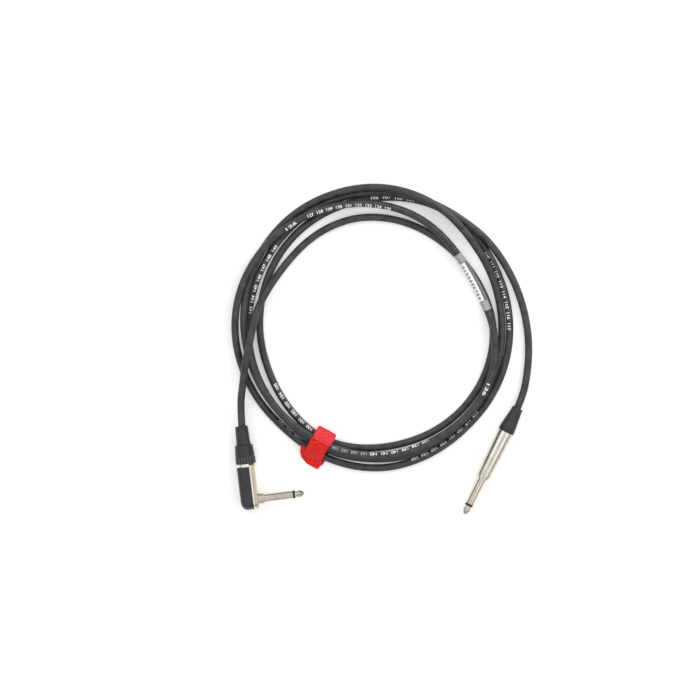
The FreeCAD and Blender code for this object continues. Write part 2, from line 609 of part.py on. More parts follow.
    boot = turned((nut_rear - BOOT_SPIGOT_LENGTH, bore), (nut_rear - BOOT_SPIGOT_LENGTH, BOOT_SPIGOT_RADIUS),
                  (nut_rear, BOOT_SPIGOT_RADIUS), (nut_rear, lip), (nut_rear + ANGLE_BOOT_LIP_LENGTH, lip),
                  (nut_rear + ANGLE_BOOT_LIP_LENGTH + ANGLE_BOOT_LIP, ANGLE_BOOT_FRONT_RADIUS),
                  (rear - BOOT_EDGE, ANGLE_BOOT_REAR_RADIUS), (rear, ANGLE_BOOT_REAR_RADIUS - BOOT_EDGE),
                  (rear, bore))
    return {
        "angle_tip": tip, "angle_tip_ring": ring, "angle_rod_tube": rod_tube, "angle_sleeve": sleeve,
        "angle_housing": housing, "angle_cover": cover, "angle_ground_lug": ground_lug,
        "angle_washer": washer, "angle_tip_terminal": terminal, "angle_core": core,
        "angle_conductor": conductor, "angle_shield_tail": shield, "angle_tip_solder": tip_solder,
        "angle_ground_solder": ground_solder, "angle_chuck": collet, "angle_gland_nut": nut,
        "angle_boot": boot,
    }, jacket_end, rear, shoulder


# Placing a plug so that the cable leaves it at its exit

def plug_place(exit_point, heading, height, exit_along):
    outward, onward = compass(heading)
    base = Vector(exit_point[0], exit_point[1], height) - outward * exit_along
    return FreeCAD.Placement(base, FreeCAD.Rotation(UP, 90 - heading)), outward


def placed(pieces, place):
    for shape in pieces.values():
        shape.transformShape(place.toMatrix(), True)
    return pieces


straight_pieces, straight_jacket_end = straight_plug()
straight_seat = STRAIGHT_COLLAR_LENGTH + SHELL_LENGTH
straight_place, straight_way = plug_place(STRAIGHT_EXIT, STRAIGHT_HEADING, BOOT_FRONT_RADIUS,
                                          straight_seat + BOOT_LENGTH)
solids = placed(straight_pieces, straight_place)
angle_pieces, angle_jacket_end, angle_rear, angle_shoulder = angle_plug()
angle_place, angle_way = plug_place(ANGLE_EXIT, ANGLE_HEADING, GLAND_NUT_FRONT_RADIUS, angle_rear)
solids.update(placed(angle_pieces, angle_place))

# Cable: the coil with a short straight run at each end, then the free stretches into the plugs
bows = coil_bows()
coil_start = bows[0].point(0) - bows[0].heading(0) * COIL_END_RUN
coil_end = bows[-1].point(1) + bows[-1].heading(1) * COIL_END_RUN
coil_edges = [Part.LineSegment(coil_start, bows[0].point(0)).toShape()]
coil_edges += [bow.edge() for bow in bows]
coil_edges.append(Part.LineSegment(bows[-1].point(1), coil_end).toShape())
solids["cable_coil"] = tube(coil_edges, CABLE_RADIUS)
report_tube("cable_coil", solids["cable_coil"], coil_edges, CABLE_RADIUS)

angle_exit = Vector(ANGLE_EXIT[0], ANGLE_EXIT[1], GLAND_NUT_FRONT_RADIUS)
angle_route = [angle_exit, angle_exit + angle_way * EXIT_RUN]
angle_route += [Vector(*point) for point in ANGLE_TAIL_POINTS]
angle_route += [coil_start - bows[0].heading(0) * ANGLE_TAIL_LAST_RUN, coil_start]
angle_edges, angle_samples = run_edges("cable_tail_angle", angle_route)
inside_run = Part.LineSegment(angle_place.multVec(Vector(angle_jacket_end, 0, 0)), angle_exit).toShape()
angle_edges.insert(0, inside_run)
solids["cable_tail_angle"] = tube(angle_edges, CABLE_RADIUS)
report_tube("cable_tail_angle", solids["cable_tail_angle"], angle_edges, CABLE_RADIUS)

straight_exit = Vector(STRAIGHT_EXIT[0], STRAIGHT_EXIT[1], BOOT_FRONT_RADIUS)
straight_route = [coil_end, coil_end + bows[-1].heading(1) * STRAIGHT_TAIL_LAST_RUN]
straight_route += [Vector(*point) for point in STRAIGHT_TAIL_POINTS]
straight_route += [straight_exit + straight_way * EXIT_RUN, straight_exit]
straight_edges, straight_samples = run_edges("cable_tail_straight", straight_route)
straight_inside = straight_place.multVec(Vector(straight_jacket_end, 0, 0))
straight_edges.append(Part.LineSegment(straight_exit, straight_inside).toShape())
solids["cable_tail_straight"] = tube(straight_edges, CABLE_RADIUS)
report_tube("cable_tail_straight", solids["cable_tail_straight"], straight_edges, CABLE_RADIUS)

# Least gap between turns, and between the turns and the free stretches, measured on points
SAMPLE_STEP = 3.0
SAME_STRETCH = 60.0


def least_gap(coil_points, others):
    """Closest approach of two skins of the cable, leaving out neighbours along it."""
    least = 1000.0
    for number, (length, point) in enumerate(coil_points):
        for other_length, other in coil_points[number + 1:] + others:
            if abs(other_length - length) > SAME_STRETCH:
                least = min(least, point.distanceToPoint(other))
    return least - 2 * CABLE_RADIUS


coil_points = []
travelled = 0.0
for bow in bows:
    count = max(1, round(bow.length / SAMPLE_STEP))
    coil_points += [(travelled + bow.length * k / count, bow.point(k / count)) for k in range(count)]
    travelled += bow.length
print("coil length %.1f, tightest arc %.1f" % (travelled, min(bow.radius for bow in bows)))
print("least gap of the coil to itself %.2f" % least_gap(coil_points, []))


def spaced(samples, start_length, direction):
    """Points every few millimetres along a free stretch, with their lengths along the cable."""
    points = []
    length = start_length
    for here, there in zip(samples, samples[1:]):
        run = there - here
        count = max(1, round(run.Length / SAMPLE_STEP))
        shares = [k / count for k in range(count)]
        points += [(length + direction * run.Length * share, here + run * share) for share in shares]
        length += direction * run.Length
    return points


angle_points = spaced(list(reversed(angle_samples)), -COIL_END_RUN, -1)
straight_points = spaced(straight_samples, travelled + COIL_END_RUN, 1)
print("least gap with the free stretches %.2f" % least_gap(coil_points, angle_points + straight_points))
total = sum(edge.Length for edge in coil_edges + angle_edges + straight_edges)
print("cable length in all %.0f" % total)

# Label: paper and clear tube follow the arcs of the turn that they sit on
station_angles = [station[0] for station in STATIONS]


def stretch_edges(middle_angle, length):
    """Edges of the coil for a length of cable centred on a compass angle."""
    first_bow = 2 * max(index for index, angle in enumerate(station_angles) if angle <= middle_angle)
    span = station_angles[first_bow // 2 + 1] - station_angles[first_bow // 2]
    share = (middle_angle - station_angles[first_bow // 2]) / span
    before = sum(bow.length for bow in bows[:first_bow])
    middle = before + share * (bows[first_bow].length + bows[first_bow + 1].length)
    low, high = middle - length / 2, middle + length / 2
    edges = []
    passed = 0.0
    for bow in bows:
        first = max(0.0, (low - passed) / bow.length)
        last = min(1.0, (high - passed) / bow.length)
        if first < last:
            edges.append(bow.edge(first, last))
        passed += bow.length
    return edges


paper_inside = CABLE_RADIUS + PAPER_GAP
paper_outside = paper_inside + PAPER_THICKNESS
paper_edges = stretch_edges(LABEL_MIDDLE, PAPER_LENGTH)
solids["label_paper"] = tube(paper_edges, paper_outside).cut(tube(paper_edges, paper_inside))
sleeve_inside = paper_outside + PAPER_GAP
sleeve_edges = stretch_edges(LABEL_MIDDLE, SLEEVE_LENGTH)
sleeve_outside = sleeve_inside + SLEEVE_WALL
solids["label_sleeve"] = tube(sleeve_edges, sleeve_outside).cut(tube(sleeve_edges, sleeve_inside))

# Strap: band and flap, drawn as reach and height, then carried along the bundle
strap_out, strap_on = compass(STRAP_ANGLE)


def strap_point(reach, height, along=0.0):
    return strap_out * reach + UP * height + strap_on * along


def strap_face(offset):
    corners = [strap_point(reach, height + STRAP_THICKNESS, -STRAP_WIDTH / 2)
               for reach, height in STRAP_INSIDE]
    wire = Part.makePolygon(corners + corners[:1])
    if offset == 0:
        return Part.Face(wire)
    return Part.Face(wire.makeOffset2D(offset, 0, False, False, False))


def strap_block(low_reach, high_reach, low_height, high_height, start, width):
    corners = [strap_point(low_reach, low_height, start), strap_point(high_reach, low_height, start),
               strap_point(high_reach, high_height, start), strap_point(low_reach, high_height, start)]
    return Part.Face(Part.makePolygon(corners + corners[:1])).extrude(strap_on * width)


def strap_loop(inner, outer):
    return strap_face(outer).cut(strap_face(inner)).extrude(strap_on * STRAP_WIDTH)


tab_root = max(reach for reach, height in STRAP_INSIDE)
tab_end = tab_root + STRAP_TAB_LENGTH
tab = strap_block(tab_root, tab_end, 0, 2 * STRAP_THICKNESS, -STRAP_WIDTH / 2, STRAP_WIDTH)
under_layer = strap_block(tab_end - STRAP_UNDER_LENGTH, tab_end, 0, STRAP_THICKNESS, 0,
                          STRAP_WIDTH / 2 + STRAP_UNDER_WIDTH)
solids["strap_band"] = strap_loop(0, STRAP_THICKNESS).fuse([tab, under_layer]).removeSplitter()
flap_inner = STRAP_THICKNESS + FLAP_GAP
flap_outer = flap_inner + FLAP_THICKNESS
corner_reach, corner_height = STRAP_INSIDE[6]
foot_height = corner_height + STRAP_THICKNESS + FLAP_FOOT_RISE
foot_reach = corner_reach - math.sqrt(flap_outer ** 2 - FLAP_FOOT_RISE ** 2)
flap_edge = STRAP_INSIDE[5][0] + FLAP_TOP_LENGTH
flap_room = strap_block(0, flap_edge, foot_height, 2 * foot_height, -STRAP_WIDTH, 2 * STRAP_WIDTH)
solids["strap_flap"] = strap_loop(flap_inner, flap_outer).common(flap_room)
flap_foot = strap_point(foot_reach, foot_height)

# Setting the whole part down with its origin under the middle of the plugs, label and strap
CABLE_NODES = ("cable_coil", "cable_tail_angle", "cable_tail_straight")
box = FreeCAD.BoundBox()
for name, shape in solids.items():
    if name not in CABLE_NODES:
        box.add(shape.optimalBoundingBox(False, False))
origin_shift = Vector(-(box.XMin + box.XMax) / 2, -(box.YMin + box.YMax) / 2, 0)


def report_place(name, point, direction):
    """A place that the record names, in metres in the part's own frame."""
    point = (point + origin_shift) * 0.001
    print("%s at %.6f %.6f %.6f along %.6f %.6f %.6f" % ((name,) + tuple(point) + tuple(direction)))


sleeve_middle = (PIN_LENGTH - TIP_LENGTH - TIP_RING_LENGTH) / 2
report_place("coil centre", Vector(0, 0, 0), UP)
report_place("straight pin", straight_place.multVec(Vector(-sleeve_middle, 0, 0)), -straight_way)
report_place("straight gland", straight_place.multVec(Vector(straight_seat, 0, 0)), straight_way)
angle_pin_way = angle_place.Rotation.multVec(Vector(0, -1, 0))
report_place("angle pin", angle_place.multVec(Vector(0, -angle_shoulder - sleeve_middle, 0)), angle_pin_way)
report_place("angle gland", angle_place.multVec(Vector(angle_rear - ANGLE_BOOT_LENGTH, 0, 0)), angle_way)
report_place("flap hinge", flap_foot, strap_on)
os.makedirs("parts", exist_ok=True)
for name, shape in solids.items():
    shape.translate(origin_shift)
    pieces = shape.Solids
    shape = pieces[0] if len(pieces) == 1 else Part.makeCompound(pieces)
    shape.exportStep("parts/%s.step" % name)
    print("%-24s solids %d  volume %10.2f  valid %s" % (name, len(pieces), shape.Volume, shape.isValid()))
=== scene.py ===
import json
import math
from bisect import bisect_left

import bmesh
import bpy
from mathutils import Matrix, Vector, noise


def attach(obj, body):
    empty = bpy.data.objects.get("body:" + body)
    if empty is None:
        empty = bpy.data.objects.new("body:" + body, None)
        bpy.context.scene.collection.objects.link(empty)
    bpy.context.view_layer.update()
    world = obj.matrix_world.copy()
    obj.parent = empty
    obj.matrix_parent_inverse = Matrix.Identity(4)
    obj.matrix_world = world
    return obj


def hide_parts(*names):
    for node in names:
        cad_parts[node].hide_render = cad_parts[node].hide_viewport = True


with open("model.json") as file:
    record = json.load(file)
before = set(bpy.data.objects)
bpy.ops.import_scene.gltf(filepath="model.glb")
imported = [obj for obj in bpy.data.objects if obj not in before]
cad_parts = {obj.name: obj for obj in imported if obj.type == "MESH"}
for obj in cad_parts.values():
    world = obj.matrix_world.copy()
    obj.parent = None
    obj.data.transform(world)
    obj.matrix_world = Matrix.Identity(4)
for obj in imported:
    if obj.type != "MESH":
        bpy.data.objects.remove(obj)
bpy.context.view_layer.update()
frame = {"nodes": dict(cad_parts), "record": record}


# Studio: a pale floor, soft lamps and a plain room, with the camera straight above the coil, where
# the photograph was taken from.
CAMERA_OVER = (-0.0225, 0.0265)
VIEW_WIDTH = 0.553
LENS = 100.0
SENSOR = 36.0
FLOOR_SIZE = 24.0
FLOOR_BELOW = 0.0002
FLOOR_WHITE = 0.9
FLOOR_GLOW = 0.3
# Each lamp's name, place, size and power. The near one lights the turns at the upper right.
LAMPS = [
    ("left lamp", (-0.9, 0.8, 1.6), 1.2, 4.2),
    ("right lamp", (1.1, -0.4, 1.5), 1.0, 2.5),
    ("near lamp", (0.40, 0.55, 0.36), 0.25, 1.8),
]
# The room is bright overhead and dark only along the horizon, which draws the edges of metal.
ROOM_STOPS = [(0.03, (0.04, 0.04, 0.04)), (0.55, (0.9, 0.9, 0.9))]


def add_object(name, data):
    made = bpy.data.objects.new(name, data)
    bpy.context.scene.collection.objects.link(made)
    return made


def set_stops(ramp, stops):
    """Gives a colour ramp its stops of (position, colour)."""
    for number, (position, colour) in enumerate(stops):
        stop = ramp.elements[number] if number < 2 else ramp.elements.new(position)
        stop.position = position
        stop.color = (*colour, 1)


camera = add_object("camera", bpy.data.cameras.new("camera"))
camera.data.lens = LENS
camera.data.sensor_width = SENSOR
camera.location = (*CAMERA_OVER, VIEW_WIDTH * LENS / SENSOR)
bpy.context.scene.camera = camera
bpy.context.scene.view_settings.view_transform = "Standard"


class Material:
    """A node material built up step by step from one shader."""

    def __init__(self, name, colour, roughness, metallic=0.0, specular=0.5):
        self.made = bpy.data.materials.new(name)
        self.made.use_nodes = True
        self.tree = self.made.node_tree
        self.shader = self.tree.nodes["Principled BSDF"]
        self.set("Base Color", (*colour, 1))
        self.set("Roughness", roughness)
        self.set("Metallic", metallic)
        self.set("Specular IOR Level", specular)

    def set(self, name, value):
        self.shader.inputs[name].default_value = value

    def node(self, kind, **inputs):
        made = self.tree.nodes.new("ShaderNode" + kind)
        for name, value in inputs.items():
            made.inputs[name.replace("_", " ")].default_value = value
        return made

    def link(self, source, target):
        self.tree.links.new(source, target)

    def noise(self, scale, detail=2.0, stretch=(1, 1, 1), uv=None):
        """Noise over the object's own coordinates, or over a UV map of the piece."""
        place = self.node("UVMap") if uv else self.node("TexCoord")
        if uv:
            place.uv_map = uv
        mapping = self.node("Mapping", Scale=stretch)
        self.link(place.outputs["UV" if uv else "Object"], mapping.inputs["Vector"])
        made = self.node("TexNoise", Scale=scale, Detail=detail)
        self.link(mapping.outputs["Vector"], made.inputs["Vector"])
        return made.outputs["Fac"]

    def colours(self, source, *stops):
        """Base colour by a value: stops of (position, colour)."""
        ramp = self.node("ValToRGB")
        set_stops(ramp.color_ramp, stops)
        self.link(source, ramp.inputs["Fac"])
        self.link(ramp.outputs["Color"], self.shader.inputs["Base Color"])

    def roughness(self, source, low, high):
        spread = self.node("MapRange", From_Min=0.3, From_Max=0.7, To_Min=low, To_Max=high)
        self.link(source, spread.inputs["Value"])
        self.link(spread.outputs["Result"], self.shader.inputs["Roughness"])

    def bump(self, source, height, strength=1.0):
        """Surface relief; a second call lies over the first."""
        made = self.node("Bump", Distance=height, Strength=strength)
        self.link(source, made.inputs["Height"])
        if self.shader.inputs["Normal"].links:
            self.link(self.shader.inputs["Normal"].links[0].from_socket, made.inputs["Normal"])
        self.link(made.outputs["Normal"], self.shader.inputs["Normal"])


floor_mesh = bpy.data.meshes.new("floor")
half_floor = FLOOR_SIZE / 2
floor_mesh.from_pydata([(-half_floor, -half_floor, 0), (half_floor, -half_floor, 0),
                        (half_floor, half_floor, 0), (-half_floor, half_floor, 0)], [], [(0, 1, 2, 3)])
floor = add_object("floor", floor_mesh)
floor.location = (*CAMERA_OVER, -FLOOR_BELOW)
paper = Material("floor paper", (FLOOR_WHITE,) * 3, 0.9, specular=0.1)
# The floor glows a little where it is seen, directly or in metal, and lights nothing by that.
sight = paper.node("LightPath")
seen = sight.outputs["Is Camera Ray"]
for ray in ("Is Glossy Ray", "Is Transmission Ray"):
    either = paper.node("Math")
    either.operation = "MAXIMUM"
    paper.link(seen, either.inputs[0])
    paper.link(sight.outputs[ray], either.inputs[1])
    seen = either.outputs["Value"]
glow = paper.node("Math")
glow.operation = "MULTIPLY"
glow.inputs[1].default_value = FLOOR_GLOW
paper.link(seen, glow.inputs[0])
paper.set("Emission Color", (1, 1, 1, 1))
paper.link(glow.outputs["Value"], paper.shader.inputs["Emission Strength"])
floor.data.materials.append(paper.made)

for name, place, size, power in LAMPS:
    lamp = add_object(name, bpy.data.lights.new(name, "AREA"))
    lamp.data.size = size
    lamp.data.energy = power
    lamp.location = place
    lamp.rotation_euler = (-Vector(place)).to_track_quat("-Z", "Y").to_euler()

room = bpy.data.worlds.new("room")
bpy.context.scene.world = room
room.use_nodes = True
place = room.node_tree.nodes.new("ShaderNodeTexCoord")
parts = room.node_tree.nodes.new("ShaderNodeSeparateXYZ")
room.node_tree.links.new(place.outputs["Generated"], parts.inputs["Vector"])
heights = room.node_tree.nodes.new("ShaderNodeValToRGB")
set_stops(heights.color_ramp, ROOM_STOPS)
room.node_tree.links.new(parts.outputs["Z"], heights.inputs["Fac"])
room.node_tree.links.new(heights.outputs["Color"], room.node_tree.nodes["Background"].inputs["Color"])


# Cable: three metres of round rubber-jacketed cable, coiled in loose turns and laid flat. It leaves
# the boot of the right-angle plug, climbs over the bundle, goes four and a half times round and runs
# out to the straight plug. Stations are compass angle, reach from the coil's middle and lift.
UP = Vector((0, 0, 1))
CABLE_RADIUS = 0.0029
CABLE_STEPS = 6
CABLE_ROUND = 5
COIL_MIDDLE = Vector((0.003581, 0.045502, 0))
ON_STRAP = 0.0017
STATIONS = [
    (288, 0.0946, 0.0066), (304, 0.0902, 0.0010), (328, 0.0888, 0.0001), (346, 0.0874, 0.0001),
    (366, 0.0842, 0.0001), (400, 0.0806, 0.0001), (415, 0.0810, 0.0001), (430, 0.0828, 0.0001),
    (450, 0.0866, 0.0001), (465, 0.0881, 0.0001), (490, 0.0900, 0.0001), (530, 0.0937, 0.0001),
    (550, 0.0976, 0.0004), (568, 0.1006, ON_STRAP), (588, 0.0985, 0.0001), (610, 0.0967, 0.0001),
    (636, 0.0975, 0.0001), (655, 0.0986, 0.0001), (680, 0.0999, 0.0001), (708, 0.1004, 0.0001),
    (745, 0.1032, 0.0001), (790, 0.0994, 0.0001), (850, 0.1021, 0.0001), (860, 0.1030, 0.0001),
    (870, 0.1050, 0.0001), (890, 0.1098, 0.0001), (903, 0.1123, 0.0004), (918, 0.1129, 0.0012),
    (928, 0.1128, ON_STRAP), (942, 0.1119, 0.0001), (965, 0.1149, 0.0001), (990, 0.1167, 0.0050),
    (1005, 0.1154, 0.0066), (1022, 0.1120, 0.0066), (1050, 0.1036, 0.0066), (1080, 0.0946, 0.0066),
    (1100, 0.0886, 0.0068), (1120, 0.0822, 0.0072), (1140, 0.0789, 0.0074), (1155, 0.0805, 0.0072),
    (1170, 0.0859, 0.0068), (1200, 0.0944, 0.0066), (1215, 0.0962, 0.0066), (1240, 0.0987, 0.0066),
    (1262, 0.1021, 0.0066), (1288, 0.1037, ON_STRAP + 0.0065), (1312, 0.1060, 0.0066),
    (1341, 0.1086, 0.0066), (1358, 0.1102, 0.0044), (1380, 0.1122, 0.0001), (1397, 0.1126, 0.0001),
    (1420, 0.1108, 0.0040), (1440, 0.1083, 0.0098), (1463, 0.1029, 0.0133), (1493, 0.0949, 0.0075),
    (1522, 0.0934, 0.0001), (1550, 0.0951, 0.0001), (1575, 0.0966, 0.0001), (1590, 0.0993, 0.0001),
    (1612, 0.1043, 0.0001), (1625, 0.1050, 0.0004), (1640, 0.1068, 0.0014), (1648, 0.1069, ON_STRAP),
    (1662, 0.1060, 0.0001), (1690, 0.1067, 0.0001), (1735, 0.1059, 0.0001), (1773, 0.1067, 0.0001),
    (1813, 0.1038, 0.0065), (1835, 0.1034, 0.0065), (1848, 0.1055, 0.0038), (1865, 0.1077, 0.0001),
    (1876, 0.1097, 0.0001), (1890, 0.1133, 0.0001), (1908, 0.1192, 0.0008),
]
POINT_EVERY = 10
# Where the cable leaves each boot, its heading there, and how it runs from there into the coil.
ANGLE_EXIT = Vector((-0.107919, -0.033298, 0.00775))
ANGLE_HEADING = -7.0
ANGLE_LEAVES = -4.0
ANGLE_RUN = 0.015
ANGLE_TAIL = [(-0.1101, -0.0455, 0.0116), (-0.1080, -0.0290, 0.0164), (-0.1035, -0.0090, 0.0164)]
STRAIGHT_EXIT = Vector((0.109481, -0.019098, 0.0065))
STRAIGHT_HEADING = 26.7
STRAIGHT_RUN = 0.0085
INSIDE_BOOT = 0.012
COIL_LEAD = 0.021


def compass(angle):
    """Directions outward and onward at a compass angle."""
    turn = math.radians(angle)
    return Vector((math.sin(turn), math.cos(turn), 0)), Vector((math.cos(turn), -math.sin(turn), 0))


def slopes(column):
    """Change per degree at each station: level where the values turn back, else eased between."""
    steps = [(b[column] - a[column]) / (b[0] - a[0]) for a, b in zip(STATIONS, STATIONS[1:])]
    inner = [2 * a * b / (a + b) if a * b > 0 else 0 for a, b in zip(steps, steps[1:])]
    return [steps[0]] + inner + [steps[-1]]


def eased(column, rates, angle):
    """Value at an angle on a smooth line through the stations."""
    number = max(i for i, station in enumerate(STATIONS[:-1]) if station[0] <= angle)
    before, after = STATIONS[number], STATIONS[number + 1]
    span = after[0] - before[0]
    t = (angle - before[0]) / span
    return (before[column] * (1 + 2 * t) * (1 - t) ** 2 + after[column] * t * t * (3 - 2 * t)
            + rates[number] * span * t * (1 - t) ** 2 - rates[number + 1] * span * t * t * (1 - t))


reach_rates, lift_rates = slopes(1), slopes(2)
# A spline runs inside its control points, so each is set out by what a circle would lose.
SET_OUT = 1 / (0.75 + 0.25 * math.cos(math.radians(POINT_EVERY)))


def coil_point(angle):
    lift = CABLE_RADIUS + eased(2, lift_rates, angle)
    return compass(angle)[0] * eased(1, reach_rates, angle) * SET_OUT + UP * lift


first_angle, last_angle = STATIONS[0][0], STATIONS[-1][0]
outward, onward = compass(first_angle)
per_radian = 180 / math.pi
first_heading = outward * reach_rates[0] * per_radian + onward * STATIONS[0][1]
first_heading += UP * lift_rates[0] * per_radian
first_heading.normalize()
angle_way, straight_way = compass(ANGLE_HEADING)[0], compass(STRAIGHT_HEADING)[0]
route = [ANGLE_EXIT - angle_way * INSIDE_BOOT, ANGLE_EXIT + compass(ANGLE_LEAVES)[0] * ANGLE_RUN]
route += [COIL_MIDDLE + Vector(point) for point in ANGLE_TAIL]
route.append(COIL_MIDDLE + coil_point(first_angle) - first_heading * COIL_LEAD)
for angle in range(first_angle, last_angle + 1, POINT_EVERY):
    route.append(COIL_MIDDLE + coil_point(angle))
route += [STRAIGHT_EXIT + straight_way * STRAIGHT_RUN, STRAIGHT_EXIT - straight_way * INSIDE_BOOT]


def evaluated(piece):
    """Plain mesh of an object with its modifiers applied."""
    bpy.context.view_layer.update()
    return bpy.data.meshes.new_from_object(piece.evaluated_get(bpy.context.evaluated_depsgraph_get()))


line = bpy.data.curves.new("cable", "CURVE")
line.dimensions = "3D"
spline = line.splines.new("NURBS")
spline.points.add(len(route) - 1)
for point, place in zip(spline.points, route):
    point.co = (*place, 1)
spline.order_u = 3
spline.use_endpoint_u = True
line.resolution_u = CABLE_STEPS
cable = add_object("cable", line)
centre_points = [vertex.co.copy() for vertex in evaluated(cable).vertices]
line.bevel_depth = CABLE_RADIUS
line.bevel_resolution = CABLE_ROUND
line.use_fill_caps = True

jacket = Material("rubber jacket", (0.036, 0.036, 0.038), 0.5, specular=0.45)
jacket.bump(jacket.noise(900, 3), 0.00015, 0.35)
dust = jacket.noise(150, 8)
jacket.colours(dust, (0.35, (0.026, 0.026, 0.028)), (0.68, (0.060, 0.060, 0.063)))
jacket.roughness(dust, 0.42, 0.58)
line.materials.append(jacket.made)
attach(cable, "cable")
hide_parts("cable_coil", "cable_tail_angle", "cable_tail_straight")

# Lengths and compass angles along the cable's own spline, for what lies on it.
lengths = [0.0]
angles = [math.degrees(math.atan2(*(centre_points[0] - COIL_MIDDLE).xy)) % 360]
for before, here in zip(centre_points, centre_points[1:]):
    lengths.append(lengths[-1] + (here - before).length)
    turned_to = math.degrees(math.atan2(*(here - COIL_MIDDLE).xy))
    angles.append(angles[-1] + (turned_to - angles[-1] + 180) % 360 - 180)


def length_at(angle):
    """Length along the cable at which it first passes a compass angle, counted on round the coil."""
    number = next(i for i, passed in enumerate(angles) if passed >= angle)
    share = (angle - angles[number - 1]) / (angles[number] - angles[number - 1])
    return lengths[number - 1] + share * (lengths[number] - lengths[number - 1])


def cable_place(length):
    """Middle of the cable at a length along it, with its directions onward, up and outward."""
    number = min(max(1, bisect_left(lengths, length)), len(lengths) - 1)
    before, after = centre_points[number - 1], centre_points[number]
    share = (length - lengths[number - 1]) / (lengths[number] - lengths[number - 1])
    first = (after - centre_points[max(number - 2, 0)]).normalized()
    last = (centre_points[min(number + 1, len(lengths) - 1)] - before).normalized()
    ahead = first.lerp(last, share).normalized()
    upward = (UP - ahead * UP.dot(ahead)).normalized()
    return before + (after - before) * share, ahead, upward, upward.cross(ahead)


# Print on the jacket: small white figures in a line along the cable, a plain running count. The
# cable twists as it is coiled, so the line comes to the top only in places.
PRINT_SIZE = 0.0035
PRINT_BOLD = 0.022
PRINT_CLEAR = 0.00003
PRINT_DEPTH = 0.00006
PRINT_CUT = 0.0004
PRINT_JOIN = 1e-7
FIRST_FIGURE = 100
FIRST_WORN = 160
GROUP_RUN = 0.0079
FIGURE_GAP = "  "
# Compass angles where each run starts and ends, and how far round the jacket it lies there.
PRINT_RUNS = [
    (574, 602, -20, -14), (714, 734, 2, -26), (774, 812, -42, -20), (852, 888, -46, -42),
    (1034, 1040, -34, -20), (1045, 1084, -22, -48), (1198, 1205, 2, 6), (1238, 1266, -62, -32),
    (1715, 1747, -30, -26),
]
WORN_RUNS = [(936, 948, -54, -48), (1267, 1283, -30, -2)]


def figures_shape(text, size):
    """Figures with a little thickness, finely cut so that they can be wrapped round the cable."""
    words = bpy.data.curves.new("figures", "FONT")
    words.body = text
    words.size = size
    words.extrude = PRINT_DEPTH
    words.offset = PRINT_BOLD * size
    words.align_y = "CENTER"
    holder = add_object("figures", words)
    shape = bmesh.new()
    shape.from_mesh(evaluated(holder))
    bpy.data.objects.remove(holder)
    bmesh.ops.remove_doubles(shape, verts=shape.verts, dist=PRINT_JOIN)
    for axis, normal in ((0, (1, 0, 0)), (1, (0, 1, 0))):
        low = min(vertex.co[axis] for vertex in shape.verts)
        high = max(vertex.co[axis] for vertex in shape.verts)
        for number in range(1, math.ceil((high - low) / PRINT_CUT)):
            spot = [0, 0, 0]
            spot[axis] = low + number * PRINT_CUT
            bmesh.ops.bisect_plane(shape, geom=shape.verts[:] + shape.edges[:] + shape.faces[:],
                                   plane_co=spot, plane_no=normal)
    return shape


def as_mesh(name, shape, recalculate=True, smooth=True, sharp=None):
    """Makes a shape a mesh: its faces turned outwards, and shaded smooth up to a sharp angle."""
    if recalculate:
        bmesh.ops.recalc_face_normals(shape, faces=shape.faces)
    mesh = bpy.data.meshes.new(name)
    shape.to_mesh(mesh)
    shape.free()
    if smooth:
        mesh.shade_smooth()
    if sharp:
        mesh.set_sharp_from_angle(angle=math.radians(sharp))
    return mesh


def wrapped(shape, start, radius, twist_from, twist_to, run):
    """Bends flat figures along the cable and round it, drifting round as the cable twists."""
    for vertex in shape.verts:
        middle, ahead, upward, outward = cable_place(start + vertex.co.x)
        swing = math.radians(twist_from + (twist_to - twist_from) * vertex.co.x / run) + vertex.co.y / radius
        out = upward * math.cos(swing) + outward * math.sin(swing)
        vertex.co = middle + out * (radius + vertex.co.z)
    return as_mesh("figures", shape, recalculate=False, smooth=False)


def joined(name, meshes):
    whole = bmesh.new()
    for mesh in meshes:
        whole.from_mesh(mesh)
    return as_mesh(name, whole, smooth=False)


def printed(name, runs, count, ink):
    """Runs of a plain count along the cable, as one piece."""
    meshes = []
    for first, last, twist_from, twist_to in runs:
        start, run = length_at(first), length_at(last) - length_at(first)
        groups = max(1, round(run / GROUP_RUN))
        words = FIGURE_GAP.join(str(count + number) for number in range(groups))
        count += groups
        shape = figures_shape(words, PRINT_SIZE)
        stretch = run / max(vertex.co.x for vertex in shape.verts)
        bmesh.ops.scale(shape, vec=(stretch, 1, 1), verts=shape.verts)
        meshes.append(wrapped(shape, start, CABLE_RADIUS + PRINT_CLEAR, twist_from, twist_to, run))
    piece = add_object(name, joined(name, meshes))
    piece.data.materials.append(ink)
    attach(piece, "cable")
    return piece


def white_ink(name, worn, whole):
    made = Material(name, (whole,) * 3, 0.55)
    made.colours(made.noise(1500), (0.28, (worn,) * 3), (0.45, (whole,) * 3))
    return made.made


jacket_print = printed("jacket_print", PRINT_RUNS, FIRST_FIGURE, white_ink("white ink", 0.5, 0.95))
worn_print = printed("jacket_print_worn", WORN_RUNS, FIRST_WORN, white_ink("worn white ink", 0.08, 0.42))


# Label: a wrap of white paper with figures on it, held under a clear plastic tube that is longer
# than the paper and shrunk on, its milky white showing more at its ends as painted glare, on the turn that
# lies on top.
# Compass angle of the label's middle, counted on round the coil.
LABEL_MIDDLE = 1144
PAPER_LENGTH = 0.0335
PAPER_INSIDE = 0.0030
PAPER_OUTSIDE = 0.00315
TUBE_LENGTH = 0.0495
TUBE_INSIDE = 0.00325
TUBE_OUTSIDE = 0.00365
TUBE_WAVE = 0.00012
TUBE_WAVE_SCALE = 260
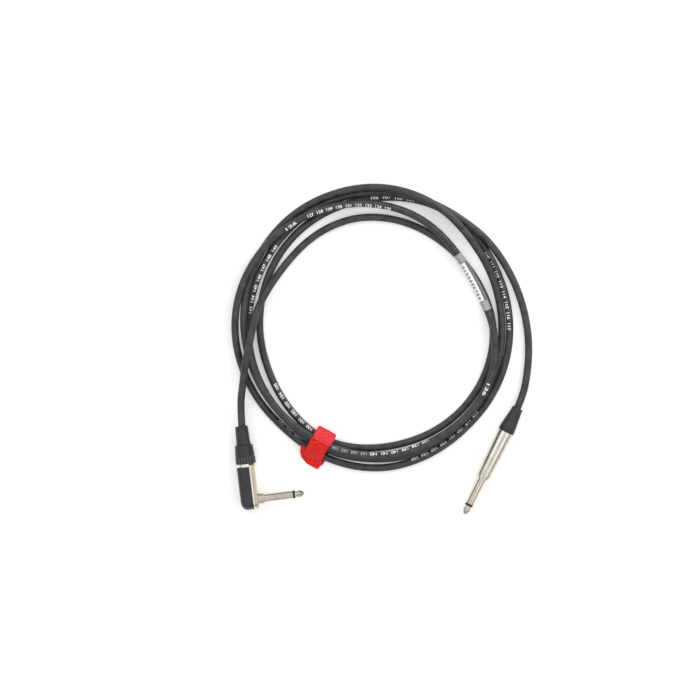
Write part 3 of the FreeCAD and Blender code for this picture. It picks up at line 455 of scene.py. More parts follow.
# How much the tube shows along its length: least over the paper, more at its ends, as painted glare.
TUBE_SHOWS_WITH_END_GLARE = [(0.13, (0.25,) * 3), (0.17, (0.07,) * 3), (0.83, (0.07,) * 3), (0.87, (0.25,) * 3)]
WRAP_STEP = 0.0007
WRAP_SIDES = 56
WRAP_SHARP = 50
LABEL_FIGURES = "0 1 2 3 4 5 6 7 8 9"
LABEL_FIGURE_SIZE = 0.0039
LABEL_FIGURE_TURN = -48
# The paper does not reach all the way round: turns from the top where its two ends lie.
PAPER_ENDS = (94, 374)


def wrap(name, length, inside, outside, wave=0.0, ends=(0, 360)):
    """A wrap round the cable at the label, from one turn to another, its wall a little wavy."""
    start = length_at(LABEL_MIDDLE) - length / 2
    rings = round(length / WRAP_STEP)
    whole = ends[1] - ends[0] == 360
    sides = WRAP_SIDES if whole else WRAP_SIDES + 1
    shape = bmesh.new()
    skins = []
    for radius in (outside, inside):
        skin = []
        for number in range(rings + 1):
            middle, ahead, upward, outward = cable_place(start + length * number / rings)
            ring = []
            for side in range(sides):
                turn = math.radians(ends[0] + (ends[1] - ends[0]) * side / WRAP_SIDES)
                out = upward * math.cos(turn) + outward * math.sin(turn)
                swell = wave * noise.noise((middle + out * radius) * TUBE_WAVE_SCALE)
                ring.append(shape.verts.new(middle + out * (radius + swell)))
            skin.append(ring)
        skins.append(skin)
    outer, inner = skins
    bands = [(outer[k], outer[k + 1]) for k in range(rings)]
    bands += [(inner[k + 1], inner[k]) for k in range(rings)]
    bands += [(inner[0], outer[0]), (outer[-1], inner[-1])]
    for one, other in bands:
        for side in range(WRAP_SIDES):
            beside = (side + 1) % sides
            shape.faces.new((one[side], other[side], other[beside], one[beside]))
    if not whole:
        for side in (0, -1):
            for k in range(rings):
                shape.faces.new((outer[k][side], outer[k + 1][side], inner[k + 1][side], inner[k][side]))
    mesh = as_mesh(name, shape, sharp=WRAP_SHARP)
    along = mesh.attributes.new("along", "FLOAT", "POINT")
    one_skin = [k / rings for k in range(rings + 1) for _ in range(sides)]
    along.data.foreach_set("value", one_skin * len(skins))
    return add_object(name, mesh)


label_paper = wrap("label_paper_wrap", PAPER_LENGTH, PAPER_INSIDE, PAPER_OUTSIDE, ends=PAPER_ENDS)
white_paper = Material("white paper", (0.93, 0.93, 0.92), 0.7, specular=0.3)
fibres = white_paper.noise(700, 6)
white_paper.colours(fibres, (0.3, (0.89, 0.89, 0.88)), (0.7, (0.95, 0.95, 0.95)))
white_paper.bump(fibres, 0.00004)
label_paper.data.materials.append(white_paper.made)
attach(label_paper, "cable")
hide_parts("label_paper")

shape = figures_shape(LABEL_FIGURES, LABEL_FIGURE_SIZE)
figures_length = max(vertex.co.x for vertex in shape.verts)
figures = wrapped(shape, length_at(LABEL_MIDDLE) - figures_length / 2, PAPER_OUTSIDE + PRINT_CLEAR,
                  LABEL_FIGURE_TURN, LABEL_FIGURE_TURN, figures_length)
label_figures = add_object("label_figures", joined("label figures", [figures]))
black_ink = Material("black ink", (0.02, 0.02, 0.022), 0.6)
black_ink.colours(black_ink.noise(1800), (0.35, (0.015, 0.015, 0.018)), (0.7, (0.07, 0.07, 0.075)))
label_figures.data.materials.append(black_ink.made)
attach(label_figures, "cable")

label_tube = wrap("label_tube", TUBE_LENGTH, TUBE_INSIDE, TUBE_OUTSIDE, TUBE_WAVE)
clear = Material("clear tube", (0.93, 0.94, 0.94), 0.08, specular=0.9)
along = clear.node("Attribute")
along.attribute_name = "along"
shows = clear.node("ValToRGB")
# The tube shows most at its ends: painted glare.
set_stops(shows.color_ramp, TUBE_SHOWS_WITH_END_GLARE)
clear.link(along.outputs["Fac"], shows.inputs["Fac"])
clear.link(shows.outputs["Color"], clear.shader.inputs["Alpha"])
clear.roughness(clear.noise(300, 4), 0.05, 0.16)
clear.colours(clear.noise(350, 3), (0.35, (0.80, 0.81, 0.82)), (0.65, (0.97, 0.97, 0.97)))
clear.bump(clear.noise(300, 2), 0.00006, 0.5)
label_tube.data.materials.append(clear.made)
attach(label_tube, "cable")
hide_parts("label_sleeve")


# Strap: one strip of red hook-and-loop tape. It starts in a doubled tab on the floor, goes under the
# bundle and up and over it, and its free end is pressed on again as the flap, which turns about the
# upper end of the fold.
MM = 0.001
STRAP_ANGLE = 208.6
TAPE_THICKNESS = 1.3
TAPE_EDGE = 0.45
TAPE_STEP = 0.5
TAPE_WAVE = 0.2
TAPE_WAVE_SCALE = 190
TAPE_SWAY_SCALE = 150
# The tape is still on the floor, and waves fully from this height above its own thickness.
TAPE_FREE = 3
# The middle of the tape: reach from the coil's middle, height and rounding, in millimetres.
BAND_ROUTE = [
    (124.2, 0.65, 0), (96.6, 0.65, 2.2), (94.1, 4.4, 3), (94.9, 9.9, 3), (100.1, 15.15, 2.6),
    (106.8, 15.15, 3.4), (115.8, 7.7, 3), (119.6, 1.95, 1.6), (124.2, 1.95, 0),
]
EAR_ROUTE = [(122.6, 1.0, 0), (120.6, 1.0, 1.2), (117.4, 6.3, 2), (112.8, 8.6, 0)]
FOLD_ROUTE = [(94.3, 5.2, 0), (93.5, 7.6, 2), (93.1, 10.35, 0)]
FLAP_ROUTE = [(93.05, 10.55, 0), (94.0, 11.35, 0.5), (99.5, 16.75, 2.4), (103.4, 16.75, 0)]
# Each strip's two edges across the tape, at shares of the way along its route.
BAND_EDGES = [
    (0, -8.2, 0.6), (0.015, -8.9, 4.2), (0.04, -9.4, 6.2), (0.07, -10.5, 6.5), (0.12, -11.0, 6.8),
    (0.2, -10.2, 7.0), (0.37, -9.1, 7.0), (0.5, -8.7, 7.2), (0.64, -7.9, 7.2), (0.8, -7.8, 7.2),
    (0.9, -8.7, 6.9), (0.95, -9.1, 6.2), (0.975, -9.2, 4.9), (0.99, -9.0, 3.0), (1, -8.4, 0.8),
]
EAR_EDGES = [
    (0, 4.4, 5.5), (0.06, 5.0, 7.2), (0.2, 6.0, 8.3), (0.4, 6.5, 9.4), (0.62, 6.8, 10.3),
    (0.82, 6.9, 11.2), (0.94, 7.0, 11.9), (1, 7.0, 11.5),
]
FOLD_EDGES = [(0, -8.6, 6.3), (0.9, -8.7, 6.4), (1, -7.7, 6.2)]
FLAP_EDGES = [
    (0, -7.7, 6.2), (0.03, -8.6, 6.6), (0.08, -9.1, 6.9), (0.9, -8.8, 6.8), (0.97, -8.5, 6.6),
    (1, -7.9, 6.1),
]
PILE_PER_MM2 = 7
PILE_HEIGHT = 0.34
PILE_SPAN = 0.3
PILE_THREAD = 0.045
PILE_SMALLEST = 0.6
PILE_LARGEST = 1.25
PILE_LEAN = 35
PILE_SEED = 7
ARCH_STEPS = 6
ROUND_STEPS = 6

strap_out, strap_on = compass(STRAP_ANGLE)


def softened(corners, ring=False):
    """Corners (a, b, rounding) as a line of 2-D points, each corner rounded by its own radius."""
    line = []
    for number, (a, b, rounding) in enumerate(corners):
        here = Vector((a, b))
        if not rounding:
            line.append(here)
            continue
        before = (Vector(corners[number - 1][:2]) - here).normalized()
        after = (Vector(corners[(number + 1) % len(corners)][:2]) - here).normalized()
        half = before.angle(after) / 2
        run = rounding / math.tan(half)
        centre = here + (before + after).normalized() * rounding / math.sin(half)
        first, last = here + before * run - centre, here + after * run - centre
        for step in range(ROUND_STEPS + 1):
            line.append(centre + first.slerp(last, step / ROUND_STEPS) * rounding)
    return line + line[:1] if ring else line


def evenly(line, step):
    """The same line with points at even distances."""
    passed = [0.0]
    for before, here in zip(line, line[1:]):
        passed.append(passed[-1] + (here - before).length)
    count = max(2, round(passed[-1] / step))
    points = []
    for number in range(count + 1):
        length = passed[-1] * number / count
        place = min(max(1, bisect_left(passed, length)), len(passed) - 1)
        share = (length - passed[place - 1]) / (passed[place] - passed[place - 1])
        points.append(line[place - 1].lerp(line[place], share))
    return points


def tape_section(half_width):
    """Outline of the tape across its length: points (across, out), its edges rounded."""
    half = TAPE_THICKNESS / 2
    corners = [(-half_width, -half, TAPE_EDGE), (half_width, -half, TAPE_EDGE),
               (half_width, half, TAPE_EDGE), (-half_width, half, TAPE_EDGE)]
    return evenly(softened(corners, ring=True), TAPE_STEP)[:-1]


def tape(name, route, edges):
    """A strip of tape along a route between its edges; gives its closed body and its outer skin."""
    path = evenly(softened(route), TAPE_STEP)
    shares = [share for share, low, high in edges]
    widest = max(high - low for share, low, high in edges)
    section = tape_section(widest / 2)
    body, skin = bmesh.new(), bmesh.new()
    rows, skin_rows = [], []
    for number, place in enumerate(path):
        ahead = (path[min(number + 1, len(path) - 1)] - path[max(number - 1, 0)]).normalized()
        normal = Vector((ahead.y, -ahead.x))
        along = number / (len(path) - 1)
        part = max(1, bisect_left(shares, along))
        share = (along - shares[part - 1]) / (shares[part] - shares[part - 1])
        (_, low_before, high_before), (_, low_after, high_after) = edges[part - 1], edges[part]
        low = low_before + (low_after - low_before) * share
        high = high_before + (high_after - high_before) * share
        narrowing = (high - low) / widest
        row, skin_row = [], []
        for across, out in section:
            flat = place + normal * out
            sideways = (low + high) / 2 + across * narrowing
            spot = (strap_out * flat.x + UP * flat.y + strap_on * sideways) * MM
            wave = min(1.0, max(0.0, flat.y - TAPE_THICKNESS) / TAPE_FREE) * TAPE_WAVE * MM
            ripple = noise.noise(spot * TAPE_WAVE_SCALE) * wave
            spot += COIL_MIDDLE + (strap_out * normal.x + UP * normal.y) * ripple
            spot += strap_on * noise.noise(spot * TAPE_SWAY_SCALE + strap_on) * wave
            row.append(body.verts.new(spot))
            if out > TAPE_THICKNESS / 2 - TAPE_EDGE / 4:
                skin_row.append(skin.verts.new(spot))
        rows.append(row)
        facing_up = place.y + normal.y * TAPE_THICKNESS / 2 > PILE_HEIGHT * 2
        skin_rows.append(skin_row if facing_up else None)
    for row, above in zip(rows, rows[1:]):
        for side in range(len(section)):
            beside = (side + 1) % len(section)
            body.faces.new((row[side], row[beside], above[beside], above[side]))
    body.faces.new(rows[0])
    body.faces.new(reversed(rows[-1]))
    for row, above in zip(skin_rows, skin_rows[1:]):
        if row and above:
            for side in range(len(row) - 1):
                skin.faces.new((row[side], row[side + 1], above[side + 1], above[side]))
    return as_mesh(name, body), as_mesh(name + "_skin", skin)


# One thread of the pile: a narrow arch that stands on the tape.
pile_thread = bmesh.new()
arch = []
for step in range(ARCH_STEPS + 1):
    height = PILE_HEIGHT * math.sin(math.pi * step / ARCH_STEPS)
    spot = Vector((PILE_SPAN * (step / ARCH_STEPS - 0.5), 0, height)) * MM
    sides = [spot + Vector((0, side * PILE_THREAD * MM, 0)) for side in (-0.5, 0.5)]
    arch.append([pile_thread.verts.new(side) for side in sides])
for one, other in zip(arch, arch[1:]):
    pile_thread.faces.new((one[0], one[1], other[1], other[0]))
thread_mesh = as_mesh("pile thread", pile_thread, recalculate=False, smooth=False)


def group_with(inputs):
    """A new geometry node group with named inputs."""
    group = bpy.data.node_groups.new("spread", "GeometryNodeTree")
    group.interface.new_socket("Geometry", in_out="INPUT", socket_type="NodeSocketGeometry")
    group.interface.new_socket("Geometry", in_out="OUTPUT", socket_type="NodeSocketGeometry")
    for name, kind in inputs:
        group.interface.new_socket(name, in_out="INPUT", socket_type="NodeSocket" + kind)
    return group, group.nodes.new("NodeGroupInput"), group.nodes.new("NodeGroupOutput")


def wire(group, *links):
    """Links nodes of a group: (from node, its output, to node, its input)."""
    for source, output, target, entrance in links:
        group.links.new(source.outputs[output], target.inputs[entrance])


def grown(name, base, group, values):
    """Runs a geometry node group on a mesh with named values and gives the plain mesh that it makes."""
    holder = add_object(name, base)
    modifier = holder.modifiers.new("grow", "NODES")
    modifier.node_group = group
    for socket in group.interface.items_tree:
        if socket.item_type == "SOCKET" and socket.in_out == "INPUT" and socket.name in values:
            modifier[socket.identifier] = values[socket.name]
    mesh = evaluated(holder)
    holder.modifiers.clear()
    bpy.data.objects.remove(holder)
    return mesh


pile_group, entry, result = group_with([("Density", "Float"), ("Seed", "Int"), ("Thread", "Object"),
                                        ("Lean", "Float"), ("Material", "Material")])
scatter = pile_group.nodes.new("GeometryNodeDistributePointsOnFaces")
thread_info = pile_group.nodes.new("GeometryNodeObjectInfo")
place_threads = pile_group.nodes.new("GeometryNodeInstanceOnPoints")
spin = pile_group.nodes.new("FunctionNodeRandomValue")
spin.data_type = "FLOAT_VECTOR"
turn_threads = pile_group.nodes.new("GeometryNodeRotateInstances")
size = pile_group.nodes.new("FunctionNodeRandomValue")
real = pile_group.nodes.new("GeometryNodeRealizeInstances")
dress = pile_group.nodes.new("GeometryNodeSetMaterial")
lean_low = pile_group.nodes.new("ShaderNodeMath")
lean_low.operation = "MULTIPLY"
lean_low.inputs[1].default_value = -1
lowest = pile_group.nodes.new("ShaderNodeCombineXYZ")
highest = pile_group.nodes.new("ShaderNodeCombineXYZ")
highest.inputs["Z"].default_value = 2 * math.pi
size.inputs[2].default_value = PILE_SMALLEST
size.inputs[3].default_value = PILE_LARGEST
wire(pile_group,
     (entry, "Geometry", scatter, "Mesh"), (entry, "Density", scatter, "Density"),
     (entry, "Seed", scatter, "Seed"), (entry, "Seed", spin, "Seed"), (entry, "Seed", size, "Seed"),
     (entry, "Thread", thread_info, "Object"), (scatter, "Points", place_threads, "Points"),
     (scatter, "Rotation", place_threads, "Rotation"), (size, 1, place_threads, "Scale"),
     (thread_info, "Geometry", place_threads, "Instance"), (entry, "Lean", lean_low, 0),
     (lean_low, 0, lowest, "X"), (lean_low, 0, lowest, "Y"), (entry, "Lean", highest, "X"),
     (entry, "Lean", highest, "Y"), (lowest, "Vector", spin, 0), (highest, "Vector", spin, 1),
     (place_threads, "Instances", turn_threads, "Instances"), (spin, 0, turn_threads, "Rotation"),
     (turn_threads, "Instances", real, "Geometry"), (real, "Geometry", dress, "Geometry"),
     (entry, "Material", dress, "Material"), (dress, "Geometry", result, "Geometry"))


def red_tape(name, dark, light):
    made = Material(name, light, 0.9, specular=0.05)
    made.set("Sheen Weight", 0.12)
    made.set("Sheen Roughness", 0.5)
    tufts = made.noise(1700, 4)
    made.colours(made.noise(600, 7), (0.32, dark), (0.66, light))
    made.bump(tufts, 0.0004, 0.8)
    made.bump(made.noise(260, 3), 0.0004, 0.5)
    return made.made


band_red = red_tape("red tape", (0.62, 0.014, 0.013), (0.98, 0.042, 0.034))
ear_red = red_tape("red tape turned over", (0.52, 0.011, 0.014), (0.92, 0.034, 0.040))
# The flap and its fold are the band's tape painted a lighter, pinker red, for the light that they catch on
# top of the bundle.
flap_red_painted_lit = red_tape("red tape of the flap painted lighter", (0.70, 0.031, 0.037), (0.92, 0.072, 0.080))
thread_holder = add_object("pile thread", thread_mesh)
for name, shape, red, body, nodes in (
        ("strap_tape", (BAND_ROUTE, BAND_EDGES), band_red, "cable", ["strap_band"]),
        ("strap_ear", (EAR_ROUTE, EAR_EDGES), ear_red, "cable", []),
        ("strap_fold", (FOLD_ROUTE, FOLD_EDGES), flap_red_painted_lit, "cable", []),
        ("strap_flap_tape", (FLAP_ROUTE, FLAP_EDGES), flap_red_painted_lit, "strap_flap", ["strap_flap"])):
    body_mesh, skin_mesh = tape(name, *shape)
    piece = add_object(name, body_mesh)
    body_mesh.materials.append(red)
    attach(piece, body)
    if nodes:
        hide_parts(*nodes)
    pile_mesh = grown(name + "_pile", skin_mesh, pile_group,
                      {"Density": PILE_PER_MM2 / MM ** 2, "Seed": PILE_SEED, "Thread": thread_holder,
                       "Lean": math.radians(PILE_LEAN), "Material": red})
    pile = add_object(name + "_pile", pile_mesh)
    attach(pile, body)
bpy.data.objects.remove(thread_holder)


# Turned metal: pieces cut from brass bar on a lathe and plated with nickel. Corners are given from
# one end of the axis to the other as (along, radius, rounding), in millimetres.
TURN_SIDES = 120
TURN_SHARP = 34
TURN_JOIN = 1e-8
THREAD_STEP = 0.12
ON_AXIS = 1e-6


def turned(name, corners, start, ahead, ring=False, thread=None):
    """A piece turned about an axis, or moulded as round. A thread is (first, last, pitch, depth)."""
    line = softened(corners, ring)
    if thread:
        first, last, pitch, depth = thread
        cut = [line[0]]
        for here in line[1:]:
            before = cut[-1]
            steps = math.ceil(abs(here.x - before.x) / THREAD_STEP)
            inside = first <= min(here.x, before.x) and max(here.x, before.x) <= last and steps > 1
            cut += [before.lerp(here, k / steps) for k in range(1, steps)] if inside else []
            cut.append(here)
        line = cut
    side = ahead.cross(UP).normalized()
    over = side.cross(ahead)
    shape = bmesh.new()
    wrapping = shape.loops.layers.uv.new("turning")
    rows, passed = [], [0.0]
    for number, here in enumerate(line):
        if number:
            passed.append(passed[-1] + (here - line[number - 1]).length * MM)
        row = []
        for step in range(TURN_SIDES if here.y > ON_AXIS else 1):
            turn = 2 * math.pi * step / TURN_SIDES
            radius = here.y
            if thread and first < here.x < last:
                radius -= depth * (0.5 - 0.5 * math.cos(2 * math.pi * here.x / pitch - turn))
            out = side * math.cos(turn) + over * math.sin(turn)
            row.append(shape.verts.new(start + (ahead * here.x + out * radius) * MM))
        rows.append(row)
    for number in range(len(rows) - 1):
        one, other = rows[number], rows[number + 1]
        for step in range(TURN_SIDES):
            corner = [(one, step, 0), (one, step + 1, 0), (other, step + 1, 1), (other, step, 1)]
            seen_verts, face_verts, places = set(), [], []
            for row, index, ahead_one in corner:
                vertex = row[index % len(row)]
                if vertex in seen_verts:
                    continue
                seen_verts.add(vertex)
                face_verts.append(vertex)
                places.append((passed[number + ahead_one], index / TURN_SIDES))
            if len(face_verts) < 3:
                continue
            face = shape.faces.new(face_verts)
            for loop, place in zip(face.loops, places):
                loop[wrapping].uv = place
    if ring:
        bmesh.ops.remove_doubles(shape, verts=shape.verts, dist=TURN_JOIN)
    return add_object(name, as_mesh(name, shape, sharp=TURN_SHARP))


def turned_nickel(name, colour, smooth, rough, lines):
    """Nickel over turned brass: fine rings from the tool, and hazy from handling."""
    made = Material(name, colour, smooth, metallic=1.0)
    made.bump(made.noise(6500, 2, (1, 0.0004, 1), "turning"), lines)
    made.bump(made.noise(150, 1), 0.00012, 0.5)
    haze = made.noise(140, 5)
    made.roughness(haze, smooth, rough)
    dark = tuple(0.82 * part for part in colour)
    made.colours(haze, (0.3, dark), (0.65, colour))
    return made.made


def finish(piece, material, body, slot, *nodes):
    """Gives a piece its material and its body, and hides the solids that it stands for."""
    piece.data.materials.clear()
    piece.data.materials.append(material)
    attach(piece, body)
    if nodes:
        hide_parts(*nodes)


satin_nickel = turned_nickel("satin nickel", (0.67, 0.64, 0.56), 0.2, 0.32, 0.000012)
bright_nickel = turned_nickel("bright nickel", (0.64, 0.59, 0.49), 0.1, 0.2, 0.000006)


def plastic(name, colour, roughness, grain_scale=2600, grain=0.00002, uneven=0.25):
    """Moulded plastic or rubber with a fine grain, a little uneven in colour and gloss."""
    made = Material(name, colour, roughness, specular=0.45)
    made.bump(made.noise(grain_scale, 3), grain)
    cloud = made.noise(90, 4)
    made.colours(cloud, (0.3, tuple((1 - uneven) * part for part in colour)),
                 (0.7, tuple((1 + uneven) * part for part in colour)))
    made.roughness(cloud, roughness - 0.07, roughness + 0.08)
    return made.made


ring_black = plastic("black ring", (0.006, 0.006, 0.007), 0.5)


# Pins: a nickel sleeve, a black insulating ring and a nickel tip with its waist, the same on both
# plugs. Places along run from the shoulder towards the tip.
PIN_RADIUS = 3.175
SLEEVE_END = 22.5
RING_END = 24.1
TIP_OUTLINE = [
    (RING_END, 0, 0), (RING_END, 2.75, 0.1), (25.4, 2.3, 2.2), (27.65, 3.15, 0.22), (28.25, 3.1, 0.3),
    (30.9, 1.45, 0.5), (31.5, 0.7, 0.4), (31.5, 0, 0),
]
STRAIGHT_COLLAR = [(-1.5, 0, 0), (-1.5, 4.4, 0.1), (0, 4.4, 0.25)]
ANGLE_COLLAR = [(-5, 0, 0), (-5, 4.5, 0.1), (0, 4.1, 0.6)]
STRAIGHT_SHOULDER = Vector((0.081624, -0.074487, 0.0065))
STRAIGHT_ALONG = Vector((0.449319, 0.893371, 0))
ANGLE_MIDDLE = Vector((-0.100814, -0.091164, 0.00775))
ANGLE_ALONG = Vector((-0.121869, 0.992546, 0))
ANGLE_PIN_ALONG = Vector((0.992546, 0.121869, 0))
SHOULDER_REACH = 11.2
ANGLE_SHOULDER = ANGLE_MIDDLE + ANGLE_PIN_ALONG * SHOULDER_REACH * MM


def pin(plug, shoulder, ahead, collar):
    sleeve = turned(plug + "_pin_sleeve",
                    collar + [(0, PIN_RADIUS, 0.2), (SLEEVE_END, PIN_RADIUS, 0.12), (SLEEVE_END, 0, 0)],
                    shoulder, ahead)
    finish(sleeve, bright_nickel, "cable", "nickel", plug + "_sleeve")
    ring = turned(plug + "_pin_ring",
                  [(SLEEVE_END, 0, 0), (SLEEVE_END, PIN_RADIUS, 0.08), (RING_END, PIN_RADIUS, 0.08),
                   (RING_END, 0, 0)], shoulder, ahead)
    finish(ring, ring_black, "cable", "ring_plastic", plug + "_tip_ring")
    tip = turned(plug + "_pin_tip", TIP_OUTLINE, shoulder, ahead)
    finish(tip, bright_nickel, "cable", "nickel", plug + "_tip")


pin("straight", STRAIGHT_SHOULDER, -STRAIGHT_ALONG, STRAIGHT_COLLAR)
pin("angle", ANGLE_SHOULDER, ANGLE_PIN_ALONG, ANGLE_COLLAR)


# Straight plug: a tapered nickel shell over the solder joints, and a long black rubber boot whose
# threaded front screws into the shell and presses the chuck shut.
SHELL_OUTLINE = [(1.5, 4.05, 0.1), (1.5, 5.3, 0.45), (41, 6.1, 0.4), (41, 4.65, 0.1)]
BOOT_OUTLINE = [
    (37.5, 4.3, 0), (37.5, 4.58, 0.1), (41.1, 4.58, 0), (41.1, 6.5, 0.35), (45, 6.3, 6), (57.2, 4.75, 3),
    (58.2, 4.5, 0.8), (62, 4.4, 0.6), (62, 3.0, 0.1), (40.1, 3.0, 0), (40, 3.5, 0),
]
# Where the thread starts and ends, its pitch and its depth.
BOOT_THREAD = (37.5, 41.05, 1.2, 0.3)

shell = turned("straight_shell_body", SHELL_OUTLINE, STRAIGHT_SHOULDER, STRAIGHT_ALONG, ring=True)
finish(shell, satin_nickel, "cable", "nickel", "straight_shell")

boot_rubber = plastic("boot rubber", (0.028, 0.027, 0.029), 0.45, 420, 0.00022, 0.5)
boot = turned("straight_boot_body", BOOT_OUTLINE, STRAIGHT_SHOULDER, STRAIGHT_ALONG, ring=True,
              thread=BOOT_THREAD)
finish(boot, boot_rubber, "straight_gland", "boot_rubber", "straight_boot")


# Right-angle plug: a plated metal housing with the pin on one side and a moulded cover on the other,
# a ribbed black nut that screws on its neck, and a short rubber boot.
# Where the plate's painted reflection begins beyond its face, and over how far it fades into painted shade.
PLATE_FACE = 0.0025
PLATE_FADE = 0.0040
CAST_JOIN = 1e-6
CAST_SHARP = 25
NUT_FRONT = 28.5
NUT_RIBS = 20
RIB_LENGTH = 6.0
RIB_WIDTH = 1.35
RIB_RADIUS = 7.3
RIB_PROUD = 0.6
RIB_SUNK = 0.15
RIB_FLATNESS = 0.6
RIB_STEPS = 8
# How far each rib stands out along its length: (along, share).
RIB_RISE = [(0.05, 0.75), (0.35, 1.0), (RIB_LENGTH - 1.4, 1.0), (RIB_LENGTH - 0.5, 0.7), (RIB_LENGTH, 0.05)]
NUT_OUTLINE = [
    (NUT_FRONT, 6.85, 0.1), (NUT_FRONT, RIB_RADIUS, 0.1), (34.3, RIB_RADIUS, 0.2), (34.9, 7.72, 0.4),
    (38, 7.45, 4), (43.3, 7.05, 0.7), (43.3, 4.25, 0.1), (40.3, 4.25, 0), (40.3, 3.0, 0), (38.7, 3.0, 0),
    (38.7, 6.85, 0),
]
ANGLE_BOOT_OUTLINE = [
    (40.4, 3.0, 0), (40.4, 4.2, 0.1), (43.3, 4.2, 0), (43.3, 5.8, 0.35), (44.6, 5.8, 0.4), (45, 5.5, 0.3),
    (56.6, 5.05, 2), (58.3, 4.85, 0.8), (58.3, 3.0, 0.2),
]


def smooth_copy(name, node):
    """A copy of a solid's mesh, joined up and shaded smooth."""
    shape = bmesh.new()
    shape.from_mesh(frame["nodes"][node].data)
    bmesh.ops.remove_doubles(shape, verts=shape.verts, dist=CAST_JOIN)
    piece = add_object(name, as_mesh(name, shape, recalculate=False, sharp=CAST_SHARP))
    even = piece.modifiers.new("even normals", "WEIGHTED_NORMAL")
    even.keep_sharp = True
    piece.data = evaluated(piece)
    piece.modifiers.clear()
    return piece


cast = Material("plated casting", (0.60, 0.52, 0.43), 0.3, metallic=1.0)
haze = cast.noise(160, 5)
cast.roughness(haze, 0.2, 0.38)
cast.bump(cast.noise(1400, 4), 0.00003)
# The plate carries painted light: a painted white reflection along its edge beside the cover, and away from
# it a painted warm, duller shade.
place = cast.node("TexCoord")
across_plate = cast.node("VectorMath")
across_plate.operation = "DOT_PRODUCT"
across_plate.inputs[1].default_value = ANGLE_PIN_ALONG
cast.link(place.outputs["Object"], across_plate.inputs[0])
glint_start = ANGLE_PIN_ALONG.dot(ANGLE_MIDDLE) + PLATE_FACE
glint_to_shade = cast.node("MapRange", From_Min=glint_start, From_Max=glint_start + PLATE_FADE, To_Min=0.0, To_Max=1.0)
cast.link(across_plate.outputs["Value"], glint_to_shade.inputs["Value"])
# Painted white reflection by the cover, then painted warm shade further off.
cast.colours(glint_to_shade.outputs["Result"], (0.22, (0.86, 0.84, 0.79)), (0.32, (0.60, 0.49, 0.38)),
             (1.0, (0.68, 0.60, 0.49)))
housing = smooth_copy("angle_housing_body", "angle_housing")
finish(housing, cast.made, "cable", "nickel", "angle_housing")

cover_black = plastic("cover plastic", (0.026, 0.027, 0.028), 0.36, 2200, 0.000025)
cover = smooth_copy("angle_cover_body", "angle_cover")
finish(cover, cover_black, "cable", "cover_plastic", "angle_cover")

nut_black = plastic("nut plastic", (0.022, 0.022, 0.023), 0.42, 1900, 0.00003)
nut = turned("angle_nut_body", NUT_OUTLINE, ANGLE_MIDDLE, ANGLE_ALONG, ring=True)
rib_shape = bmesh.new()
rib_rows = []
for along, share in RIB_RISE:
    row = []
    for step in range(RIB_STEPS + 1):
        turn = math.pi * step / RIB_STEPS
        sideways = -RIB_WIDTH / 2 * math.cos(turn)
        out = RIB_RADIUS - RIB_SUNK + (RIB_PROUD + RIB_SUNK) * share * math.sin(turn) ** RIB_FLATNESS
        row.append(rib_shape.verts.new(Vector((NUT_FRONT + along, sideways, out)) * MM))
    rib_rows.append(row)
for one, other in zip(rib_rows, rib_rows[1:]):
    for step in range(RIB_STEPS):
        rib_shape.faces.new((one[step], one[step + 1], other[step + 1], other[step]))
rib_shape.faces.new(rib_rows[0])
rib_shape.faces.new(rib_rows[-1])
rib_mesh = as_mesh("rib", rib_shape)

rib_group, entry, result = group_with([("Ribs", "Int"), ("Material", "Material")])
spokes = rib_group.nodes.new("GeometryNodeMeshLine")
stand = rib_group.nodes.new("GeometryNodeInstanceOnPoints")
index = rib_group.nodes.new("GeometryNodeInputIndex")
part_turn = rib_group.nodes.new("ShaderNodeMath")
part_turn.operation = "DIVIDE"
full_turn = rib_group.nodes.new("ShaderNodeMath")
full_turn.operation = "MULTIPLY"
full_turn.inputs[1].default_value = 2 * math.pi
about = rib_group.nodes.new("ShaderNodeCombineXYZ")
real = rib_group.nodes.new("GeometryNodeRealizeInstances")
dress = rib_group.nodes.new("GeometryNodeSetMaterial")
spokes.inputs["Offset"].default_value = (0, 0, 0)
wire(rib_group,
     (entry, "Ribs", spokes, "Count"), (spokes, "Mesh", stand, "Points"),
     (entry, "Geometry", stand, "Instance"), (index, "Index", part_turn, 0), (entry, "Ribs", part_turn, 1),
     (part_turn, "Value", full_turn, 0), (full_turn, "Value", about, "X"),
     (about, "Vector", stand, "Rotation"), (stand, "Instances", real, "Geometry"),
     (real, "Geometry", dress, "Geometry"), (entry, "Material", dress, "Material"),
     (dress, "Geometry", result, "Geometry"))
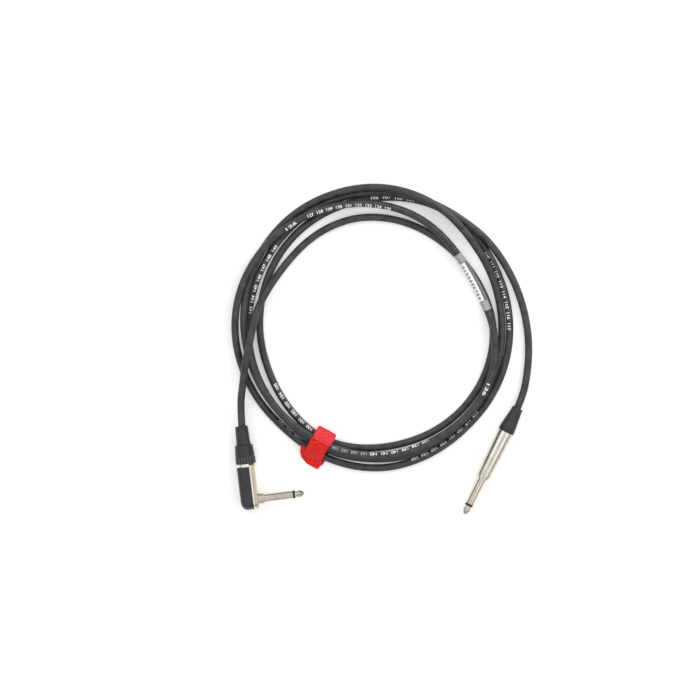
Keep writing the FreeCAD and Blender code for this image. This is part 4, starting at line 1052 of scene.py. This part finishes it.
# The ribs are a lighter black than the body of the nut.
lighter_rib_black = plastic("lighter ribs", (0.06, 0.06, 0.06), 0.4, 1900, 0.00003)
ribs_mesh = grown("ribs", rib_mesh, rib_group, {"Ribs": NUT_RIBS, "Material": lighter_rib_black})
across = UP.cross(ANGLE_ALONG)
to_plug = Matrix((ANGLE_ALONG, across, UP)).transposed().to_4x4()
to_plug.translation = ANGLE_MIDDLE
ribs_mesh.transform(to_plug)
ribs = add_object("angle_nut_ribs", ribs_mesh)
finish(nut, nut_black, "angle_gland", "nut_plastic", "angle_gland_nut")
finish(ribs, lighter_rib_black, "angle_gland", "nut_plastic")

angle_boot = turned("angle_boot_body", ANGLE_BOOT_OUTLINE, ANGLE_MIDDLE, ANGLE_ALONG, ring=True)
finish(angle_boot, boot_rubber, "angle_gland", "boot_rubber", "angle_boot")


# Inside the plugs: the solder joints, insulators and chucks, which show only when a gland is screwed
# off. They are the frame's own solids; each takes the look of what it is made of.
def raw_metal(name, colour, low, high, grain):
    made = Material(name, colour, low, metallic=1.0)
    cloud = made.noise(210, 5)
    made.colours(cloud, (0.3, tuple(0.62 * part for part in colour)), (0.66, colour))
    made.roughness(cloud, low, high)
    made.bump(made.noise(grain, 3), 0.00003)
    return made.made


inner_looks = {
    "chuck_plastic": plastic("chuck plastic", (0.030, 0.030, 0.032), 0.42, 1800, 0.00002),
    "clear_insulator": plastic("milky insulator", (0.62, 0.62, 0.57), 0.3, 900, 0.00001),
    "core_plastic": plastic("core insulation", (0.70, 0.68, 0.62), 0.45, 1500, 0.00001),
    "washer_plastic": plastic("fibre washer", (0.12, 0.055, 0.03), 0.6, 2400, 0.00003),
    "copper": raw_metal("bare copper", (0.80, 0.38, 0.24), 0.22, 0.42, 4200),
    "tinned_brass": raw_metal("tinned brass", (0.68, 0.66, 0.60), 0.24, 0.44, 1600),
    "solder": raw_metal("solder", (0.62, 0.62, 0.63), 0.18, 0.4, 700),
}
for part in frame["record"]["subparts"]:
    if part["material_slot"] in inner_looks:
        for holder in frame["nodes"][part["node"]].material_slots:
            holder.material = inner_looks[part["material_slot"]]
